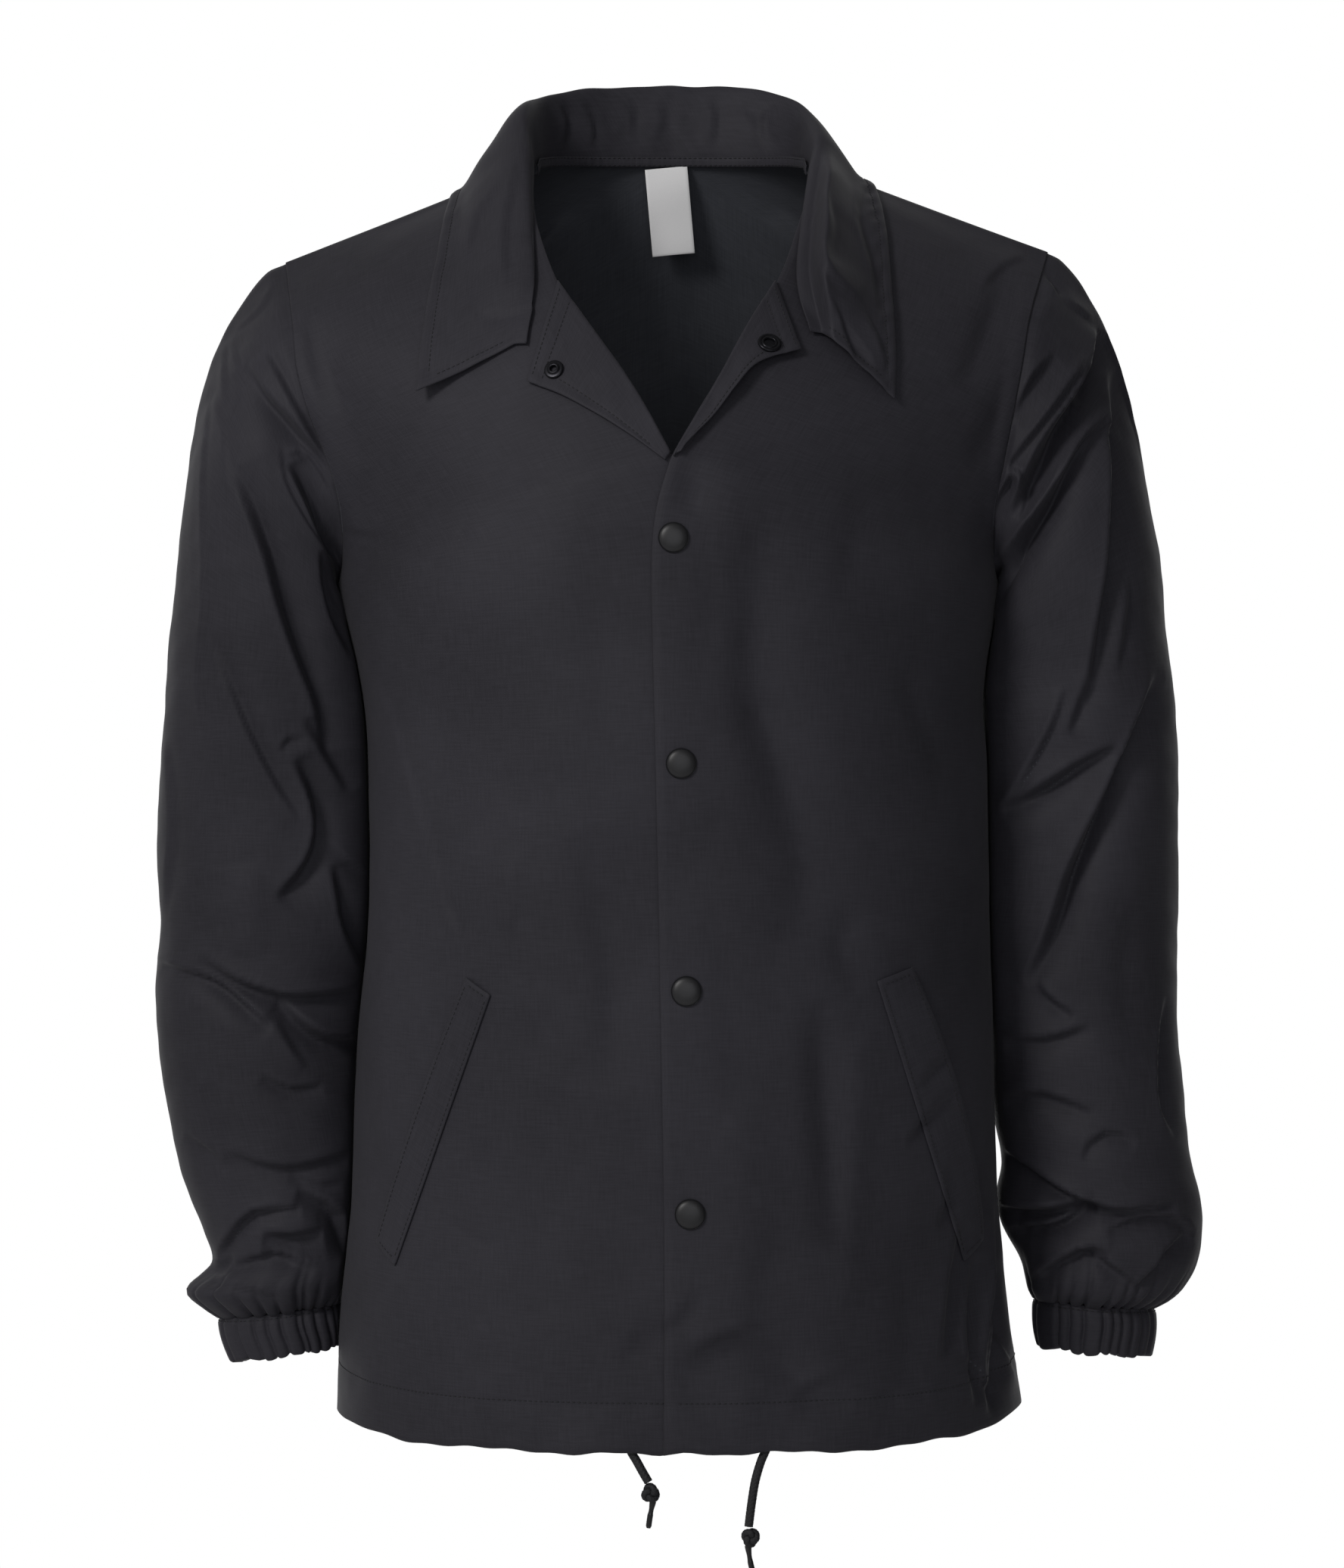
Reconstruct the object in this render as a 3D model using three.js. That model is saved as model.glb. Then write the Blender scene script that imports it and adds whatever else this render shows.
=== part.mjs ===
// A snap-front coach jacket in thin nylon, size M, filled out as if worn, with no wearer inside.
// Millimetres, +Z up. The front faces -Y and the wearer's left is +X.
// The origin is where the wearer holds the jacket up: the middle of the neck, level with the
// high points of the shoulders.

import * as THREE from 'three';

// Cloth and seams

const WALL = 1.6;
const SEAM_GAP = 0.3;
const LAY_GAP = 0.75;
const LEAF_GAP = 2.1;
const RIGHT = -1;
const LEFT = 1;

// Resolution of the main panels

const LOWER_ROWS = 17;
const UPPER_ROWS = 11;
const FRONT_COLUMNS = 12;
const BACK_COLUMNS = 10;
const SLEEVE_CAP_ROWS = 7;
const SLEEVE_ROWS = 16;

// The body of the jacket, from hem to armpit: a row for each level.
// right and left are half widths, front and back the y of the middle, side the y of the side seam.

const BODY = [
  { z: -711, right: 190, left: 198, front: -158, back: 132, side: 0 },
  { z: -655, right: 188.5, left: 191, front: -156, back: 134, side: 0 },
  { z: -590, right: 181.5, left: 184.5, front: -153, back: 136, side: 0 },
  { z: -500, right: 178.5, left: 182, front: -150, back: 136, side: 0 },
  { z: -420, right: 171.5, left: 179.5, front: -149, back: 134, side: 0 },
  { z: -340, right: 172.5, left: 178.4, front: -150, back: 134, side: 2 },
  { z: -300, right: 176, left: 177, front: -149.5, back: 134, side: 5 },
  { z: -246, right: 189, left: 186, front: -148, back: 132, side: 10 },
];
const BODY_ROUNDNESS = 2.25;
const COLUMN_SPREAD = 0.889;
const HEM_SIDE_Z = { right: -706, left: -703 };
const HEM_FRONT_Z = -712;
const HEM_BACK_Z = -707;
const HEM_EASE = 6;
const ARMPIT_Z = -246;

// Free edges of the snap placket: the left front laps over the right front.
// over is the free edge of the left front, under that of the right front.

const PLACKET = [
  { z: -711, over: -4, under: 31 },
  { z: -585, over: -4, under: 29 },
  { z: -466, over: -6, under: 27 },
  { z: -344, over: -8.5, under: 24 },
  { z: -246, over: -11, under: 21 },
];
const PLACKET_TOP = [
  { t: 0, over: -11, under: 21, y: -148, z: -246 },
  { t: 0.091, over: -11, under: 19, y: -147.2, z: -214 },
  { t: 0.182, over: 0, under: 0, y: -146, z: -179 },
];
const OVERLAP_LIFT = WALL + 0.7;
const OVERLAP_BLEND = 30;
const BREAK_T = 0.182;

// Necklines of a front and of the back, from the middle to the high point of the shoulder.

const FRONT_NECK = [
  { t: 0.182, x: 0, y: -146, z: -179 },
  { t: 0.36, x: 33, y: -121, z: -134 },
  { t: 0.54, x: 66, y: -90, z: -89 },
  { t: 0.72, x: 77, y: -48, z: -45 },
  { t: 0.88, x: 80, y: -12, z: -14 },
  { t: 1, x: 78, y: 16, z: 0 },
];
const BACK_MIDDLE = [
  { t: 0, x: 0, y: 132, z: -246 },
  { t: 0.22, x: 0, y: 128, z: -178 },
  { t: 0.4, x: 0, y: 118, z: -108 },
  { t: 0.53, x: 0, y: 100, z: -46 },
  { t: 0.636, x: 0, y: 78, z: 9 },
];
const BACK_NECK = [
  { t: 0.636, x: 0, y: 78, z: 9 },
  { t: 0.727, x: 25, y: 76, z: 8.7 },
  { t: 0.818, x: 48, y: 67, z: 7.6 },
  { t: 0.909, x: 68, y: 46, z: 5 },
  { t: 1, x: 78, y: 16, z: 0 },
];
const NECK_ROW = 7;

// The armhole from the armpit (t 0) up to the shoulder point (t 1), in front and behind.

const ARMHOLE_FRONT = [
  { t: 0, x: 190, y: 10, z: -246 },
  { t: 0.132, x: 186, y: -20, z: -233 },
  { t: 0.277, x: 185, y: -42, z: -205 },
  { t: 0.385, x: 190, y: -50, z: -180 },
  { t: 0.524, x: 202, y: -54, z: -148 },
  { t: 0.634, x: 209, y: -50, z: -122 },
  { t: 0.745, x: 212, y: -38, z: -96 },
  { t: 1, x: 220, y: 10, z: -57 },
];
const ARMHOLE_BACK = [
  { t: 0, x: 190, y: 10, z: -246 },
  { t: 0.15, x: 188, y: 45, z: -232 },
  { t: 0.348, x: 190, y: 72, z: -190 },
  { t: 0.571, x: 200, y: 78, z: -135 },
  { t: 0.776, x: 212, y: 55, z: -90 },
  { t: 1, x: 220, y: 10, z: -57 },
];
const ARMHOLE_CENTRE = { y: 10, z: -150 };
const ARMHOLE_LEFT = { shift: -3, rise: 6 };
const BACK_BULGE = [
  { t: 0, depth: 0 },
  { t: 0.3, depth: 6 },
  { t: 0.6, depth: 18 },
  { t: 0.82, depth: 10 },
  { t: 1, depth: 0 },
];

// The sleeves below the cap: outer is the x of the outline away from the body, wide and deep are
// half sizes, middle is the y of the centre.

const RIGHT_SLEEVE = [
  { z: -260, outer: 286, wide: 61, middle: 20, deep: 70 },
  { z: -300, outer: 289.5, wide: 63, middle: 23, deep: 70 },
  { z: -350, outer: 294, wide: 65, middle: 28, deep: 69 },
  { z: -400, outer: 296, wide: 66, middle: 32, deep: 67 },
  { z: -436, outer: 294, wide: 65, middle: 34, deep: 65 },
  { z: -470, outer: 297, wide: 64, middle: 35, deep: 63 },
  { z: -504, outer: 294.5, wide: 61, middle: 35, deep: 61 },
  { z: -539, outer: 289.5, wide: 58, middle: 34, deep: 60 },
  { z: -574, outer: 281, wide: 54, middle: 33, deep: 57 },
  { z: -608, outer: 268.5, wide: 47, middle: 31, deep: 51 },
  { z: -624, outer: 263, wide: 43, middle: 29, deep: 46 },
  { z: -632, outer: 269, wide: 46, middle: 28, deep: 46 },
  { z: -641, outer: 277, wide: 50, middle: 27, deep: 46 },
  { z: -650, outer: 268, wide: 43, middle: 26, deep: 40 },
  { z: -658, outer: 259.5, wide: 36, middle: 25, deep: 32 },
];
const LEFT_SLEEVE = [
  { z: -260, outer: 281, wide: 58, middle: 20, deep: 70 },
  { z: -300, outer: 287, wide: 60, middle: 22, deep: 70 },
  { z: -350, outer: 290, wide: 61, middle: 25, deep: 68 },
  { z: -417, outer: 290, wide: 61, middle: 28, deep: 66 },
  { z: -487, outer: 290, wide: 58, middle: 27, deep: 62 },
  { z: -522, outer: 293, wide: 56, middle: 25, deep: 60 },
  { z: -556, outer: 295, wide: 54.5, middle: 22, deep: 58 },
  { z: -574, outer: 298, wide: 55, middle: 20, deep: 56 },
  { z: -591, outer: 302, wide: 58, middle: 19, deep: 54 },
  { z: -608, outer: 302.6, wide: 57, middle: 18, deep: 52 },
  { z: -626, outer: 299.5, wide: 51, middle: 17, deep: 49 },
  { z: -640, outer: 291, wide: 44.5, middle: 16, deep: 45 },
  { z: -647, outer: 284, wide: 40, middle: 15, deep: 40 },
  { z: -653, outer: 275, wide: 34, middle: 15, deep: 32 },
];
const CAP_END_Z = -300;
const CAP_START = { right: 0.25, left: 0.2 };
const SLEEVE_ROW_EASE = 1.35;
const CAP_FINISH = 0.52;
const SLEEVE_CLEAR = 3;

// Elastic cuffs: top and bottom levels, centres and half sizes; tilt is how much lower the outer
// side lies than the inner one.

const CUFFS = {
  right: { top: -658.3, bottom: -679, x: 223.5, y: 25, lowX: 218.5, lowY: 22, wide: 36, deep: 32, tilt: 9 },
  left: { top: -653.3, bottom: -677, x: 241, y: 15, lowX: 241, lowY: 13, wide: 34, deep: 32, tilt: 5 },
};
const CUFF_WALL = 2;
const CUFF_GATHERS = 20;
const CUFF_COLUMNS = CUFF_GATHERS * 4;
const CUFF_ROWS = 2;
const CUFF_GATHER_DEPTH = 1.3;
const CUFF_NARROWING = 2;

// The one-piece collar, from the centre back (station 0) to its front end (station 7):
// the seam point, the height of the roll above it and the free edge of the leaf.

const COLLAR = [
  { station: 0, x: 0, y: 78, z: 9, stand: 45, edgeX: 0, edgeY: 98, edgeZ: 2 },
  { station: 1, x: 38, y: 72, z: 8, stand: 44, edgeX: 52, edgeY: 94, edgeZ: -1 },
  { station: 2, x: 66, y: 52, z: 6, stand: 38, edgeX: 98, edgeY: 72, edgeZ: -8 },
  { station: 3, x: 78, y: 16, z: 0, stand: 28, edgeX: 122, edgeY: 24, edgeZ: -17 },
  { station: 4, x: 80, y: -12, z: -14, stand: 19, edgeX: 130, edgeY: -8, edgeZ: -35 },
  { station: 5, x: 77, y: -48, z: -45, stand: 10, edgeX: 135, edgeY: -42, edgeZ: -64 },
  { station: 6, x: 69, y: -82, z: -80, stand: 5, edgeX: 138, edgeY: -76, edgeZ: -102 },
  { station: 7, x: 77, y: -96, z: -111, stand: 3, edgeX: 140, edgeY: -98, edgeZ: -139 },
];
const COLLAR_STATIONS = 7;
const COLLAR_HALF_COLUMNS = 16;
const STAND_ROWS = 3;
const LEAF_ROWS = 5;
const LEFT_LEAF_NARROWER = 16;
const LEFT_STAND_LOWER = 4;

// Facings turned out as lapels, in front view: neck is the side on the neckline, free the far side.

const RIGHT_FACING = [
  { q: 0, neckX: 3, neckZ: -176, freeX: 9, freeZ: -180, lift: 0 },
  { q: 0.33, neckX: 26, neckZ: -145, freeX: 31, freeZ: -166, lift: 0.4 },
  { q: 0.67, neckX: 49, neckZ: -114, freeX: 55, freeZ: -151.5, lift: 0.8 },
  { q: 1, neckX: 70, neckZ: -84, freeX: 79, freeZ: -137, lift: 0.6 },
];
const LEFT_FACING = [
  { q: 0, neckX: 3, neckZ: -175, freeX: 7, freeZ: -177, lift: 1.5 },
  { q: 0.33, neckX: 24, neckZ: -147, freeX: 28, freeZ: -158, lift: 4 },
  { q: 0.67, neckX: 46, neckZ: -117, freeX: 48, freeZ: -133, lift: 4.5 },
  { q: 1, neckX: 66, neckZ: -88, freeX: 71, freeZ: -119, lift: 1.5 },
];
const FACING_ROWS = 9;
const FACING_COLUMNS = 6;

// Slanted pocket welts, in front view: outer and inner top corners, then the bottom ones.

const WELTS = {
  right: { outerTop: [111, -460], innerTop: [98, -469], outerBottom: [162, -607], innerBottom: [151, -618] },
  left: { outerTop: [130, -455], innerTop: [111, -462], outerBottom: [171, -607], innerBottom: [160, -617] },
};
const WELT_ROWS = 14;
const WELT_COLUMNS = 2;

// Back neck tape and the care label below it

const TAPE_WALL = 1;
const TAPE_RISE = 2.5;
const TAPE_DROP = 3;
const TAPE_ROWS_UP = UPPER_ROWS - NECK_ROW;
const LABEL = { x: -3.5, width: 24.5, length: 50, wall: 1, tilt: 0.045, lean: 7 };

// Snaps

const CAP_SPOTS = [
  { x: 0.8, z: -223 },
  { x: 4.9, z: -344 },
  { x: 7.7, z: -466 },
  { x: 9.7, z: -585 },
];
const CAP_PROFILE = [
  [0, 0], [7.6, 0], [8.25, 0.6], [7.9, 1.5], [6.7, 2], [6.3, 1.7], [5.8, 2.2], [3.2, 2.8], [0, 3],
];
const SOCKET_PROFILE = [
  [0, 0], [6, 0], [6.5, 0.5], [6.1, 1.5], [4.2, 1.6], [3.8, 0.9], [0, 0.9],
];
const POST_PROFILE = [
  [1.7, 0], [5.1, 0], [5.5, 0.5], [5.1, 1.3], [3.4, 1.4], [2.7, 2.2], [1.9, 2.2], [1.7, 1.8], [1.7, 0],
];
const SOCKET_SPOT = { x: 53, z: -115.5 };
const POST_SPOT = { x: -64, z: -130 };
const SNAP_SIDES = 18;

// Drawcord ends: each leaves the inside of the hem, hangs over its edge and ends in a knot and a tip.

const CORD_RADIUS = 2.3;
const CORD_SIDES = 8;
const TIP_RADIUS = 1.9;
const HEM_INSIDE = WALL + 0.6 + CORD_RADIUS;
const RIGHT_CORD = [
  { x: -24, y: 0, z: -698 },
  { x: -24, y: 0, z: -704 },
  { x: -22.5, y: 0, z: -711 },
  { x: -19, y: -1, z: -717 },
  { x: -15.5, y: -3, z: -723 },
  { x: -12.5, y: -4, z: -728 },
];
const LEFT_CORD = [
  { x: 52, y: 0, z: -697 },
  { x: 52, y: 0, z: -704 },
  { x: 50.5, y: 0, z: -711 },
  { x: 47.5, y: -1, z: -718 },
  { x: 44.5, y: -3, z: -728 },
  { x: 42.5, y: -4, z: -740 },
  { x: 41, y: -4, z: -752 },
];
const KNOT = { wide: 5.2, deep: 4.4, high: 5.6 };
const RIGHT_TAIL = { start: [-10.2, -739.8], end: [-12.6, -752.5] };
const LEFT_TAIL = { start: [40.6, -763.8], end: [44, -779] };

// Large folds of each piece. from, by and to are x, z in front view; width and depth are in
// millimetres, a trough negative and a ridge positive; face is -1 in front and 1 behind.

const RIGHT_SLEEVE_FOLDS = [
  { from: [-263, -139], by: [-268, -215], to: [-266, -296], width: 14, depth: 2.5, face: -1 },
  { from: [-242, -117], by: [-215, -154], to: [-187, -182], width: 13, depth: -5, face: -1 },
  { from: [-203, -178], by: [-188, -228], to: [-182, -280], width: 13, depth: -6, face: -1 },
  { from: [-230, -213], by: [-219, -250], to: [-203, -312], width: 13, depth: -4, face: -1 },
  { from: [-251, -291], by: [-230, -330], to: [-206, -369], width: 14, depth: -3.5, face: -1 },
  { from: [-203, -314], by: [-202, -376], to: [-216, -416], width: 14, depth: -4, face: -1 },
  { from: [-294, -450], by: [-256, -463], to: [-222, -490], width: 12, depth: -5, face: -1 },
  { from: [-256, -458], by: [-217, -473], to: [-182, -474], width: 12, depth: -5, face: -1 },
  { from: [-250, -566], by: [-217, -569], to: [-184, -566], width: 14, depth: -4, face: -1 },
  { from: [-254, -621], by: [-238, -598], to: [-205, -600], width: 12, depth: -5, face: -1 },
  { from: [-256, -638], by: [-226, -634], to: [-200, -636], width: 11, depth: 3.5, face: -1 },
  { from: [-262, -150], by: [-230, -210], to: [-200, -260], width: 15, depth: -5, face: 1 },
  { from: [-275, -300], by: [-245, -350], to: [-215, -410], width: 16, depth: -4, face: 1 },
  { from: [-285, -455], by: [-240, -470], to: [-200, -462], width: 14, depth: -5, face: 1 },
  { from: [-270, -570], by: [-235, -585], to: [-200, -575], width: 14, depth: -4, face: 1 },
];
const LEFT_SLEEVE_FOLDS = [
  { from: [234, -112], by: [214, -145], to: [196, -180], width: 12, depth: -5.5, face: -1 },
  { from: [246, -152], by: [212, -192], to: [180, -251], width: 13, depth: -5, face: -1 },
  { from: [252, -128], by: [245, -204], to: [232, -300], width: 15, depth: -3.5, face: -1 },
  { from: [192, -363], by: [214, -344], to: [246, -337], width: 13, depth: -4, face: -1 },
  { from: [273, -300], by: [238, -378], to: [203, -463], width: 15, depth: -5, face: -1 },
  { from: [188, -466], by: [210, -472], to: [234, -487], width: 13, depth: -4, face: -1 },
  { from: [188, -532], by: [210, -529], to: [238, -536], width: 13, depth: -3, face: -1 },
  { from: [190, -569], by: [218, -585], to: [280, -594], width: 13, depth: -7, face: -1 },
  { from: [192, -612], by: [208, -606], to: [230, -597], width: 12, depth: -3.5, face: -1 },
  { from: [212, -638], by: [240, -640], to: [272, -642], width: 10, depth: 3, face: -1 },
  { from: [258, -150], by: [226, -215], to: [200, -270], width: 15, depth: -5, face: 1 },
  { from: [275, -320], by: [240, -370], to: [212, -430], width: 16, depth: -4, face: 1 },
  { from: [285, -470], by: [240, -480], to: [205, -470], width: 14, depth: -5, face: 1 },
  { from: [285, -585], by: [245, -598], to: [212, -588], width: 14, depth: -4, face: 1 },
];
const BODY_FOLDS = [
  { from: [-200, -98], by: [-178, -165], to: [-155, -212], width: 18, depth: -7, face: -1 },
  { from: [-160, -297], by: [-128, -396], to: [-110, -436], width: 18, depth: -4, face: -1 },
  { from: [-83, -400], by: [-88, -440], to: [-101, -483], width: 15, depth: 3, face: -1 },
  { from: [-45, -400], by: [-36, -450], to: [-17, -513], width: 15, depth: -3, face: -1 },
  { from: [208, -66], by: [196, -90], to: [168, -128], width: 14, depth: -3.5, face: -1 },
  { from: [48, -178], by: [43, -270], to: [60, -372], width: 20, depth: -4, face: -1 },
  { from: [101, -190], by: [97, -225], to: [90, -262], width: 16, depth: -3, face: -1 },
  { from: [74, -480], by: [80, -530], to: [92, -590], width: 15, depth: -4, face: -1 },
  { from: [100, -505], by: [97, -560], to: [92, -630], width: 14, depth: 3, face: -1 },
  { from: [-6, -674], by: [34, -656], to: [92, -684], width: 12, depth: -3.5, face: -1 },
  { from: [172, -610], by: [170, -660], to: [172, -708], width: 13, depth: -4, face: -1 },
  { from: [-95, -70], by: [-120, -190], to: [-118, -330], width: 22, depth: -5, face: 1 },
  { from: [92, -80], by: [118, -200], to: [122, -350], width: 22, depth: -5, face: 1 },
  { from: [-30, -330], by: [-60, -430], to: [-75, -560], width: 20, depth: -4, face: 1 },
  { from: [48, -380], by: [62, -480], to: [60, -610], width: 20, depth: -4, face: 1 },
  { from: [-150, -520], by: [-135, -600], to: [-140, -690], width: 18, depth: -4, face: 1 },
];

// Colours of the real materials

const FINISHES = {
  nylon: { color: 0x2f2e33, roughness: 0.62, metalness: 0 },
  nylonDark: { color: 0x26262a, roughness: 0.68, metalness: 0 },
  snap: { color: 0x1b1b1d, roughness: 0.42, metalness: 0.6 },
  label: { color: 0xe9e9e6, roughness: 0.7, metalness: 0 },
  cord: { color: 0x151517, roughness: 0.85, metalness: 0 },
  tip: { color: 0x1a1a1c, roughness: 0.35, metalness: 0 },
};

// Small helpers

const vector = (x, y, z) => new THREE.Vector3(x, y, z);
const clamp = (value, low, high) => Math.min(Math.max(value, low), high);
const mix = (a, b, share) => a + (b - a) * share;
const smooth = (low, high, value) => THREE.MathUtils.smoothstep(value, low, high);
const nameOf = (side) => (side === LEFT ? 'left' : 'right');

// Reads one column of a table at any place between its rows, along a smooth curve.
function sample(table, key, column, value) {
  const last = table.length - 1;
  if (value <= table[0][key]) return table[0][column];
  if (value >= table[last][key]) return table[last][column];
  let i = 0;
  while (table[i + 1][key] < value) i += 1;
  const slope = (k) => {
    const before = table[Math.max(k - 1, 0)];
    const after = table[Math.min(k + 1, last)];
    return (after[column] - before[column]) / (after[key] - before[key]);
  };
  const span = table[i + 1][key] - table[i][key];
  const u = (value - table[i][key]) / span;
  const start = table[i][column];
  const end = table[i + 1][column];
  const h = u * u * (3 - 2 * u);
  const bend = span * u * (1 - u) * ((1 - u) * slope(i) - u * slope(i + 1));
  return mix(start, end, h) + bend;
}

const samplePoint = (table, t, side) =>
  vector(side * sample(table, 't', 'x', t), sample(table, 't', 'y', t), sample(table, 't', 'z', t));

const upwards = (table) => [...table].sort((a, b) => a.z - b.z);
const SLEEVE_TABLES = { right: upwards(RIGHT_SLEEVE), left: upwards(LEFT_SLEEVE) };

// Sheets: an outer face given by points and quads, from which a closed wall is made

function makeSheet() {
  return { points: [], inward: [], quads: [] };
}

function addPoint(sheet, point, inward = null) {
  sheet.points.push(point);
  sheet.inward.push(inward);
  return sheet.points.length - 1;
}

// A sheet over rows and columns; place(row, column) gives { point, inward }, and the inward
// direction may be left out, where the wall then grows square to the face.
function gridSheet(rows, columns, place, wraps = false) {
  const sheet = makeSheet();
  const count = wraps ? columns : columns + 1;
  for (let row = 0; row <= rows; row += 1) {
    for (let column = 0; column < count; column += 1) {
      const { point, inward } = place(row, column);
      addPoint(sheet, point, inward ?? null);
    }
  }
  for (let row = 0; row < rows; row += 1) {
    for (let column = 0; column < columns; column += 1) {
      const next = (column + 1) % count;
      const low = row * count;
      const high = low + count;
      sheet.quads.push([low + column, low + next, high + next, high + column]);
    }
  }
  return sheet;
}

function flip(sheet) {
  sheet.quads = sheet.quads.map(([a, b, c, d]) => [a, d, c, b]);
  return sheet;
}

// Two triangles for each quad, split along its shorter diagonal.
function trianglesOf(sheet) {
  const triangles = [];
  for (const [a, b, c, d] of sheet.quads) {
    const p = sheet.points;
    if (p[a].distanceTo(p[c]) <= p[b].distanceTo(p[d])) {
      triangles.push([a, b, c], [a, c, d]);
    } else {
      triangles.push([a, b, d], [b, c, d]);
    }
  }
  return triangles;
}

function normalsOf(sheet) {
  const normals = sheet.points.map(() => vector(0, 0, 0));
  for (const [a, b, c] of trianglesOf(sheet)) {
    const p = sheet.points;
    const normal = p[b].clone().sub(p[a]).cross(p[c].clone().sub(p[a]));
    for (const i of [a, b, c]) normals[i].add(normal);
  }
  return normals.map((normal) => normal.normalize());
}

// Moves the points of a sheet along its normals: move(point, normal, index) gives the distance.
function displace(sheet, move) {
  const normals = normalsOf(sheet);
  sheet.points.forEach((point, i) => point.addScaledVector(normals[i], move(point, normals[i], i)));
  return sheet;
}

// The closed wall of a sheet: its outer face, an inner face and a rim along every free edge.
function wallGeometry(sheet, thickness) {
  const normals = normalsOf(sheet);
  const count = sheet.points.length;
  const inner = sheet.points.map((point, i) => {
    const direction = sheet.inward[i] ?? normals[i].clone().negate();
    return point.clone().addScaledVector(direction, thickness);
  });
  const triangles = trianglesOf(sheet);
  const index = [];
  const edges = new Set();
  for (const [a, b, c] of triangles) {
    index.push(a, b, c, a + count, c + count, b + count);
    for (const [from, to] of [[a, b], [b, c], [c, a]]) edges.add(`${from} ${to}`);
  }
  for (const edge of edges) {
    const [from, to] = edge.split(' ').map(Number);
    if (edges.has(`${to} ${from}`)) continue;
    index.push(to, from, from + count, to, from + count, to + count);
  }
  const positions = [...sheet.points, ...inner].flatMap((point) => [point.x, point.y, point.z]);
  const geometry = new THREE.BufferGeometry();
  geometry.setAttribute('position', new THREE.Float32BufferAttribute(positions, 3));
  geometry.setIndex(index);
  geometry.computeVertexNormals();
  return geometry;
}

// Folds

function distanceToFold(fold, x, z) {
  const corners = [fold.from, fold.by, fold.to];
  const lengths = [0, 1].map((i) =>
    Math.hypot(corners[i + 1][0] - corners[i][0], corners[i + 1][1] - corners[i][1]));
  let best = { distance: Infinity, along: 0 };
  for (const i of [0, 1]) {
    const [ax, az] = corners[i];
    const [bx, bz] = corners[i + 1];
    const share = clamp(((x - ax) * (bx - ax) + (z - az) * (bz - az)) / lengths[i] ** 2, 0, 1);
    const distance = Math.hypot(x - mix(ax, bx, share), z - mix(az, bz, share));
    const along = ((i ? lengths[0] : 0) + share * lengths[i]) / (lengths[0] + lengths[1]);
    if (distance < best.distance) best = { distance, along };
  }
  return best;
}

function foldMove(folds, point, normal) {
  let move = 0;
  for (const fold of folds) {
    const turned = clamp(fold.face * normal.y * 1.6, 0, 1);
    if (turned === 0) continue;
    const { distance, along } = distanceToFold(fold, point.x, point.z);
    const taper = Math.sqrt(Math.sin(Math.PI * clamp(along, 0.04, 0.96)));
    move += fold.depth * turned * taper * Math.exp(-((distance / fold.width) ** 2));
  }
  return move;
}

// The armhole ring, shared by the front, the back and the sleeve

function armholePoint(side, t, face) {
  const point = samplePoint(face < 0 ? ARMHOLE_FRONT : ARMHOLE_BACK, t, side);
  if (side === LEFT) {
    point.x += ARMHOLE_LEFT.shift;
    point.z += ARMHOLE_LEFT.rise * t * t;
  }
  return point;
}

function armholeInward(side, point) {
  const towards = vector(0, ARMHOLE_CENTRE.y - point.y, ARMHOLE_CENTRE.z - point.z).normalize();
  return towards.add(vector(-0.6 * side, 0, 0)).normalize();
}

// Square to the ring and its rim, towards the sleeve.
function armholeOutward(side, t, face) {
  const step = 0.02;
  const ahead = armholePoint(side, Math.min(t + step, 1), face);
  const behind = armholePoint(side, Math.max(t - step, 0), face);
  const tangent = ahead.sub(behind).normalize();
  if (t === 0 || t === 1) tangent.set(0, 1, 0);
  const outward = tangent.cross(armholeInward(side, armholePoint(side, t, face))).normalize();
  return outward.x * side > 0 ? outward : outward.negate();
}

// One panel row: its inner edge, its outer edge and how the cloth rounds between them

function lowerLevel(row) {
  return row / LOWER_ROWS;
}

function lowerRow(side, share, face, innerX) {
  const z = mix(HEM_SIDE_Z[nameOf(side)], ARMPIT_Z, share);
  const middleZ = mix(face < 0 ? HEM_FRONT_Z : HEM_BACK_Z, ARMPIT_Z, share);
  const half = sample(BODY, 'z', nameOf(side), z);
  const middleY = sample(BODY, 'z', face < 0 ? 'front' : 'back', z);
  return {
    inner: vector(innerX(z), middleY, middleZ),
    outer: vector(side * half, sample(BODY, 'z', 'side', z), z),
    crown: 0,
    squareness: 1,
    bulge: 0,
    ease: HEM_EASE,
  };
}

function upperFrontRow(side, t) {
  const below = t <= BREAK_T;
  const inner = samplePoint(FRONT_NECK, Math.max(t, BREAK_T), side);
  if (below) {
    inner.x = sample(PLACKET_TOP, 't', side === LEFT ? 'over' : 'under', t);
    inner.y = sample(PLACKET_TOP, 't', 'y', t);
    inner.z = sample(PLACKET_TOP, 't', 'z', t);
  }
  return {
    inner,
    outer: armholePoint(side, t, -1),
    crown: below ? 0 : inner.x,
    squareness: 1 - smooth(0, 0.35, t),
    bulge: 0,
    ease: 1,
  };
}

function upperBackRow(side, t) {
  const below = t <= NECK_ROW / UPPER_ROWS;
  const inner = samplePoint(below ? BACK_MIDDLE : BACK_NECK, t, side);
  return {
    inner,
    outer: armholePoint(side, t, 1),
    crown: inner.x,
    squareness: 1 - 0.6 * smooth(0, 0.35, t),
    bulge: sample(BACK_BULGE, 't', 'depth', t),
    ease: 1,
  };
}

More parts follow.
